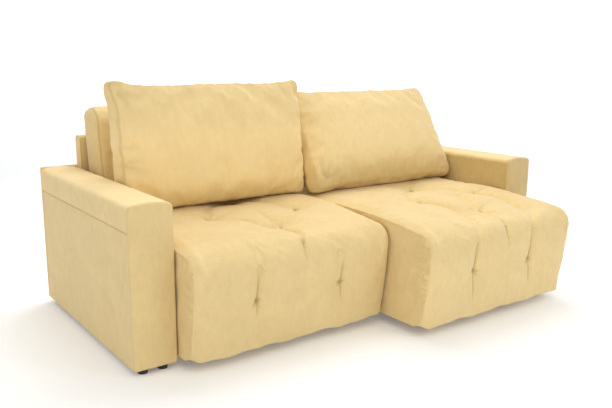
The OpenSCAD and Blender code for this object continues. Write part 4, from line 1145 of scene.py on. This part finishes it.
def arm_facing(low, high, side):
    """The arm's front: its outline carried forward, rounded over by 12 mm, and closed by a 4 mm crown.

    Rings first draw in by 12 mm (1 - cos t) while they come forward by 12 mm sin t. Then they shrink
    towards a line up the arm's middle.
    """
    r, crown = 0.012, 0.004
    outer, inner = outer_and_inner(low, high, side)
    foot = np.linspace(0, np.pi / 2, 8)
    way = np.sign(outer - inner)
    ring = np.concatenate([
        over_arm(outer, inner, low[2] + r, low[2] + r, high[2]),
        np.stack([inner + way * r * (1 - np.cos(foot)), low[2] + r * (1 - np.sin(foot))], -1)[1:],
        np.stack([outer - way * r * (1 - np.sin(foot)), low[2] + r * (1 - np.cos(foot))], -1)[:-1],
    ])
    out = ring_normals(ring)
    out *= np.sign(((ring - ring.mean(0)) * out).sum())
    spine = np.clip(ring, [(outer + inner) / 2, low[2] + 0.09], [(outer + inner) / 2, high[2] - 0.09])
    rings = [(ring - out * 0.001, high[1]), (ring, high[1] - 0.003)]
    rings += [(ring, (low[1] + crown + r + high[1]) / 2)]
    rings += [(ring - out * r * (1 - math.cos(t)), low[1] + crown + r * (1 - math.sin(t)))
              for t in np.linspace(0, np.pi / 2, 10)]
    front = ring - out * r
    rings += [(front + (spine - front) * t, low[1] + crown * (1 - t) ** 2)
              for t in np.linspace(0.03, 0.97, 24)]
    stations = np.stack([np.insert(p, 1, y, axis=1) for p, y in rings])
    stations[..., 1] += 0.0004 * waves(stations, 0.12, 61 + SIDES[side])
    # Painted shade along the seam at the facing's back edge, and at its rear fan's middle
    seam = 0.3 * fading(np.abs(stations[..., 1] - high[1]), 0.004)
    points, faces = swept_ring(stations)
    return points, faces, np.concatenate([seam.ravel(), [0.3, 0]])


def arm_band(side, sizes):
    """An arm's top band on its lining: points, quads, its painted shade along the seams, and its painted
    light and shade.

    It dips by 3 mm at its front and along its seam with the outer panel.
    """
    low, high = low_high(f"{side}_arm_top_band")
    outer_x, inner_x = outer_and_inner(low, high, side)
    s, skin, foot = SIDES[side], 0.0116, ARM_SEAM + 0.0004
    under = high[2] - 0.0262
    line = over_arm(outer_x, inner_x, foot, low[2], high[2])
    out_x, in_x = outer_x - s * skin, inner_x + s * skin
    lining = resampled([[out_x, foot], [out_x, under], [in_x, under], [in_x, low[2]]], len(line))
    y = spaced(low[1], high[1], 150, (low[1], high[1]), 4.0, 0.03)
    outer, inner = carried(line, y, 1), carried(lining, y, 1)
    out = unit(outer - inner)
    x, behind, above = outer[..., 0], outer[..., 1] - low[1], outer[..., 2] - ARM_SEAM
    on_side = np.abs(x - outer_x) < 0.001
    dip = 0.003 * fading(behind, 0.006) + 0.0008 * np.abs(waves(outer, 0.12, 71 + s)) * sizes.wrinkle
    rolled = 0.003 * fading(above, 0.005) * on_side
    # Painted shade along the seam with the outer panel and along the front edge
    dark = 0.35 * fading(above, 0.003) * on_side + 0.3 * fading(behind, 0.003)
    # Painted light and shade: the band's top and its inner side, each lighter or darker
    up = ramp(outer[..., 2] - high[2] + 0.030, 0.020)
    inward = np.abs(x - outer_x) > 0.1
    right = side == "right"
    nap = sizes.arm_top_painted_light[right] * up + sizes.arm_inner_painted_light[right] * (1 - up) * inward
    return *slab(outer - out * (dip + rolled)[..., None], inner), dark, nap


def arm_panels(side):
    """An arm's outer and rear panels: two soft blocks, set in by 1.6 mm where they meet the other covers."""
    s, inset = SIDES[side], 0.0016
    low, high = low_high(f"{side}_arm_side_panel")
    band_x = outer_and_inner(*low_high(f"{side}_arm_top_band"), side)[0]
    out0, out1 = (high[0] - 0.012, high[0]) if s > 0 else (low[0], low[0] + 0.012)
    panel = soft_block((out0, low[1], low[2]), (out1, high[1] - 0.0125, ARM_SEAM - 0.0004), 0.0045,
                       (8, 130, 70), (0.0016, 0, 0), 0.0009, 81 + s)
    rear = soft_block((low[0], high[1] - 0.012, low[2]), (high[0], high[1], high[2]), 0.0055, (30, 8, 90),
                      (0, 0.0016, 0), 0.0008, 91 + s)
    panel[0][:, 0] -= np.where(np.abs(panel[0][:, 0]) > abs(band_x) - 0.006, inset * s, 0)
    rear[0][:, 1] -= np.where(rear[0][:, 1] > high[1] - 0.006, inset, 0)
    return joined([panel, rear])


class SOFA_OT_arms(bpy.types.Operator):
    """Both arms: front facing, top band, outer and rear panels, with sewn edges between them"""

    bl_idname = "sofa.arms"
    bl_label = "Cover the arms"

    def execute(self, context):
        sizes = context.scene.sofa_sizes
        for side in SIDES:
            # The facing, band and panels carry painted light and shade, and the facing and band painted shade
            # along their seams
            points, faces, dark = arm_facing(*low_high(f"{side}_arm_front_facing"), side)
            make_piece(f"{side}_arm_facing", points, faces, "base", (f"{side}_arm_front_facing",),
                       crease=dark, angle=60, nap=sizes.facing_painted_light[side == "right"])
            points, faces, dark, nap = arm_band(side, sizes)
            make_piece(f"{side}_arm_band", points, faces, "base", (f"{side}_arm_top_band",),
                       crease=dark, angle=60, nap=nap)
            points, faces = arm_panels(side)
            make_piece(f"{side}_arm_panels", points, faces, "base", (f"{side}_arm_side_panel",),
                       angle=60, nap=sizes.arm_panel_painted_light)
        return {"FINISHED"}


class SOFA_OT_rear(bpy.types.Operator):
    """The fixed rear frame's cover, with a sewn seam down its middle"""

    bl_idname = "sofa.rear"
    bl_label = "Cover the rear frame"

    def execute(self, context):
        wrinkle = context.scene.sofa_sizes.wrinkle
        low, high = low_high("rear_frame_cover")
        r, skin, count, middle = 0.020, 0.0078, 150, 75
        line = resampled(np.concatenate([
            [[high[1], low[2]]],
            arc(high[1] - r, high[2] - r, r, 0, 12),
            arc(low[1] + r, high[2] - r, r, np.pi / 2, 12),
            [[low[1], low[2]]],
        ]), count)
        near, far, under = low[1] + skin, high[1] - skin, high[2] - skin
        lining = resampled([[far, low[2]], [far, under], [near, under], [near, low[2]]], count)
        x = spaced(low[0], high[0], 220, (low[0], 0, high[0]), 4.0, 0.03)
        outer, inner = carried(line, x, 0), carried(lining, x, 0)
        gx = outer[..., 0]
        dip = 0.0022 * (bell(gx, 0.0035) + fading(gx - low[0], 0.005) + fading(high[0] - gx, 0.005))
        dip = dip + 0.0008 * np.abs(waves(outer, 0.16, 15)) * wrinkle
        parts = [slab(outer - unit(outer - inner) * dip[..., None], inner)]

        share = np.linspace(0, 1, 12)[None, :, None]
        rising, falling = line[:middle], line[:middle - 1:-1]
        across = rising[:, None] * (1 - share) + falling[:, None] * share
        edge = np.minimum(share, 1 - share)[..., 0] * np.linalg.norm(rising - falling, axis=1)[:, None]
        roll = 0.0015 * fading(edge, 0.003)
        for end, s in ((low[0], -1), (high[0], 1)):
            outside = np.concatenate([(end + s * (0.0012 - roll))[..., None], across], -1)
            inside = np.concatenate([np.full(roll.shape + (1,), end - s * 0.0025), across], -1)
            parts.append(slab(outside, inside))
        points, faces = joined(parts)
        # Painted shade along the middle seam
        make_piece("rear_cover", points, faces, "base", ("rear_frame_cover",),
                   crease=0.4 * bell(gx, 0.003), angle=60)
        return {"FINISHED"}


class SOFA_OT_frames(bpy.types.Operator):
    """Finishes of the timber, steel, plastic and webbing that the model brings along"""

    bl_idname = "sofa.frames"
    bl_label = "Finish the frames"

    def execute(self, context):
        slots = {p["node"]: p["material_slot"] for p in frame["record"]["subparts"]}
        for name, node in NODES.items():
            kind = slots[name]
            if kind == "timber":
                along = "z" if "arm_frame" in name else "y" if "side_boards" in name else "x"
                kind = f"timber_{along}"
            if not node.material_slots:
                node.data.materials.append(finish(kind))
            for slot in node.material_slots:
                slot.material = finish(kind)
        return {"FINISHED"}


# Stage

# Each light's place, the point that it looks at, its size and its colour
WARM_WHITE = (1.0, 0.975, 0.955)
LIGHTS = {
    "front": ((-1.6, -2.8, 3.6), (0, 0, 0.4), 2.8, WARM_WHITE),
    "right": ((1.9, -4.0, 3.4), (0.2, 0, 0.4), 2.0, WARM_WHITE),
    "top": ((0.6, 0.9, 3.6), (0, -0.2, 0.4), 2.6, WARM_WHITE),
    "left": ((-4.2, -0.6, 2.2), (0, 0, 0.4), 2.5, (1.0, 0.93, 0.80)),
}
SKY_COLOUR = (1.0, 0.970, 0.940, 1)


def put(name, data, right, up, back, place):
    """Adds an object to the scene with its three axes and its place."""
    made = bpy.data.objects.new(name, data)
    bpy.context.scene.collection.objects.link(made)
    made.matrix_world = Matrix([[right[k], up[k], back[k], place[k]] for k in range(3)] + [[0, 0, 0, 1]])
    return made


class SOFA_OT_stage(bpy.types.Operator):
    """Camera at the photograph's angle, a pale floor and soft studio light"""

    bl_idname = "sofa.stage"
    bl_label = "Set the stage"

    def execute(self, context):
        scene = context.scene
        stage = scene.sofa_stage
        scene.view_settings.view_transform = "Standard"
        lens = bpy.data.cameras.new("camera")
        lens.sensor_width = 36
        lens.lens = stage.lens
        yaw, pitch, roll = stage.yaw, stage.pitch, stage.roll
        level_ahead = np.array([math.sin(yaw), math.cos(yaw), 0])
        level_right = np.array([math.cos(yaw), -math.sin(yaw), 0])
        ahead = level_ahead * math.cos(pitch) - [0, 0, math.sin(pitch)]
        right = unit(np.cross(ahead, [0, 0, 1]))
        up = np.cross(right, ahead)
        right, up = math.cos(roll) * right + math.sin(roll) * up, math.cos(roll) * up - math.sin(roll) * right
        scene.camera = put("camera", lens, right, up, -ahead, stage.camera_place)

        far, tall, behind, lines = 14.0, 9.0, 8, 9
        grid = np.stack([g.ravel() for g in np.meshgrid(*[np.linspace(-1, 1, lines)] * 2)], -1)
        level = np.pad(grid * far, ((0, 0), (0, 1)))
        upright = behind * level_ahead + grid[:, :1] * far * level_right
        upright[:, 2] = (grid[:, 1] + 1) / 2 * tall - 0.1
        for name, points in (("floor", level), ("backdrop", upright)):
            mesh = bpy.data.meshes.new(name)
            mesh.from_pydata(points.tolist(), [], quads_of(lines, lines)[:, ::-1].tolist())
            mesh.materials.append(finish(name))
            sheet = put(name, mesh, *np.eye(3), (0, 0, 0))

        scene.world = bpy.data.worlds.new("studio")
        scene.world.use_nodes = True
        sky = scene.world.node_tree.nodes["Background"].inputs
        sky["Color"].default_value = SKY_COLOUR
        sky["Strength"].default_value = stage.sky
        for name, (place, aim, size, colour) in LIGHTS.items():
            lamp = bpy.data.lights.new(name, "AREA")
            lamp.shape = "SQUARE"
            lamp.size = size
            lamp.energy = getattr(stage, name)
            lamp.color = colour
            back = unit(np.subtract(place, aim))
            side = unit(np.cross([0, 0, 1], back))
            put(name, lamp, side, np.cross(back, side), back, place)
        return {"FINISHED"}


# Settings and panel


def number(name, description, default, low=-1, high=1, **more):
    """A number with its limits, or one for the left and one for the right where the default has two."""
    if np.ndim(default):
        return bpy.props.FloatVectorProperty(
            name=name, description=description, default=default, min=low, max=high, size=2, **more)
    return bpy.props.FloatProperty(
        name=name, description=description, default=default, min=low, max=high, **more)


def nap(name, what, default):
    """How much lighter a place is painted, or darker below zero: painted light and shade."""
    return number(name, f"How much lighter {what} looks", default)


def colour(name, description, default):
    """A colour in shader values."""
    return bpy.props.FloatVectorProperty(
        name=name, description=description, default=default, subtype="COLOR", size=3, min=0, max=1)


def angle(name, description, degrees):
    """An angle."""
    return bpy.props.FloatProperty(
        name=name, description=description, default=math.radians(degrees), subtype="ANGLE")


class SofaSizes(bpy.types.PropertyGroup):
    """Depths, fillings and painted light and shade of the covers"""

    tuft_depth: number(
        "Tuft depth", "Depth of a seat's tufts before its foam fills out", 0.010, 0, 0.04, unit="LENGTH")
    fold_depth: number("Fold depth", "Depth of the folds between tufts", 0.014, 0, 0.03, unit="LENGTH")
    wrinkle: number("Wrinkles", "How strong the small wrinkles are", 1.0, 0, 3)
    top_depth: number(
        "Top depth", "How much deeper tufts and folds are on a seat's top than on its face", 1.9, 0, 3)
    seat_swell: number(
        "Seat swell", "How far a seat's foam fills its cover out", 0.020, 0, 0.03, unit="LENGTH")
    seat_slack: number(
        "Seat slack", "Share by which a seat's cloth is larger than its foam", 0.015, 0, 0.1,
        subtype="FACTOR")
    seat_pressure: number("Seat pressure", "Pressure of the foam in the cloth simulation", 4.0, 0, 20)
    seat_cap: number(
        "Seat movement", "How far a point of a seat's cloth may move", 0.022, 0.001, 0.05, unit="LENGTH")
    pillow_crown: number(
        "Pillow crown", "How far a pillow's face stands out past its gusset", 0.070, 0.01, 0.075,
        unit="LENGTH")
    pillow_slack: number(
        "Pillow slack", "Share by which the pillow cloth is larger than its filling", 0.014, 0, 0.2,
        subtype="FACTOR")
    pillow_pressure: number("Pillow pressure", "Pressure of the filling in the cloth simulation", 1.2, 0, 10)
    pillow_cap: number(
        "Pillow movement", "How far a point of the pillow cloth may move", 0.018, 0.001, 0.05, unit="LENGTH")
    # Painted light and shade: how much lighter each place is painted, or darker below zero
    pillow_painted_light: nap("Pillow nap", "the left and the right pillow's nap", (0.48, 0.22))
    pillow_top_painted_light: nap("Pillow top nap", "the nap along a pillow's upper edge", -0.58)
    pillow_low_painted_light: nap("Pillow low nap", "the nap along a pillow's lower edge", -0.55)
    seat_face_painted_light: nap("Seat face nap", "the left and the right seat's face", (0.0, 0.16))
    seat_nose_painted_light: nap("Seat nose nap", "the nap over a seat's nose", 0.16)
    seat_top_painted_light: nap("Seat top nap", "the nap on a seat's top", 0.0)
    facing_painted_light: nap("Facing nap", "the left and the right arm's front", (-0.04, -0.38))
    arm_top_painted_light: nap("Arm top nap", "the left and the right arm's top", (0.42, 0.0))
    arm_inner_painted_light: nap("Arm inner nap", "the left and the right arm's inner side", (0, -0.60))
    arm_panel_painted_light: nap("Arm panel nap", "the nap on the arms' outer panels", -0.08)


class SofaColours(bpy.types.PropertyGroup):
    """Colours of the materials"""

    suede: colour("Suede", "Middle tone of the suede", linear((231, 206, 149)))
    timber: colour("Timber", "Colour of the frames' timber", (0.60, 0.40, 0.21))
    steel: colour("Steel", "Colour of the zinc-plated steel", (0.62, 0.63, 0.65))
    plastic: colour("Plastic", "Colour of feet, wheels and rollers", (0.022, 0.021, 0.020))
    webbing: colour("Webbing", "Colour of the elastic webbing", (0.055, 0.055, 0.062))
    floor: colour("Floor", "Colour of the studio floor", (0.93, 0.95, 0.97))


class SofaStage(bpy.types.PropertyGroup):
    """Camera and lights"""

    camera_place: bpy.props.FloatVectorProperty(
        name="Camera place", description="Where the camera stands", default=(-2.09299, -2.69358, 1.19495),
        subtype="TRANSLATION", unit="LENGTH", size=3)
    lens: number("Focal length", "Focal length for a 36 mm wide sensor", 41.573, 10, 200, unit="CAMERA")
    yaw: angle("Yaw", "Turn of the view to the right of straight back", 36.224)
    pitch: angle("Pitch", "How far the view looks down", 11.812)
    roll: angle("Roll", "Turn of the camera about its own axis", 0.395)
    sky: number("Sky", "Strength of the light from all round", 0.46, 0, 5)
    front: number("Front light", "Power of the light from the left front", 36, 0, 1000, unit="POWER")
    right: number("Right light", "Power of the light from the right front", 34, 0, 1000, unit="POWER")
    top: number("Top light", "Power of the light from above", 70, 0, 1000, unit="POWER")
    left: number("Left light", "Power of the light from the far left", 20, 0, 1000, unit="POWER")
    floor_glow: number("Floor glow", "Strength of the light from behind the floor's paper", 0.15, 0, 2)


STEPS = ("stage", "frames", "arms", "rear", "seats", "backs", "pillows")


class SOFA_PT_panel(bpy.types.Panel):
    """Sizes, colours and the steps that dress the sofa"""

    bl_label = "Sofa"
    bl_idname = "SOFA_PT_panel"
    bl_space_type = "VIEW_3D"
    bl_region_type = "UI"
    bl_category = "Sofa"

    def draw(self, context):
        for group in (context.scene.sofa_sizes, context.scene.sofa_colours, context.scene.sofa_stage):
            box = self.layout.box()
            for name in group.__annotations__:
                box.prop(group, name)
        for step in STEPS:
            self.layout.operator(f"sofa.{step}")


CLASSES = (
    SofaSizes, SofaColours, SofaStage, SOFA_OT_stage, SOFA_OT_frames, SOFA_OT_arms, SOFA_OT_rear,
    SOFA_OT_seats, SOFA_OT_backs, SOFA_OT_pillows, SOFA_PT_panel)


def register():
    for one in CLASSES:
        bpy.utils.register_class(one)
    bpy.types.Scene.sofa_sizes = bpy.props.PointerProperty(type=SofaSizes)
    bpy.types.Scene.sofa_colours = bpy.props.PointerProperty(type=SofaColours)
    bpy.types.Scene.sofa_stage = bpy.props.PointerProperty(type=SofaStage)


def unregister():
    del bpy.types.Scene.sofa_sizes
    del bpy.types.Scene.sofa_colours
    del bpy.types.Scene.sofa_stage
    for one in reversed(CLASSES):
        bpy.utils.unregister_class(one)


def main():
    register()
    for step in STEPS:
        getattr(bpy.ops.sofa, step)()


if __name__ == "__main__":
    main()
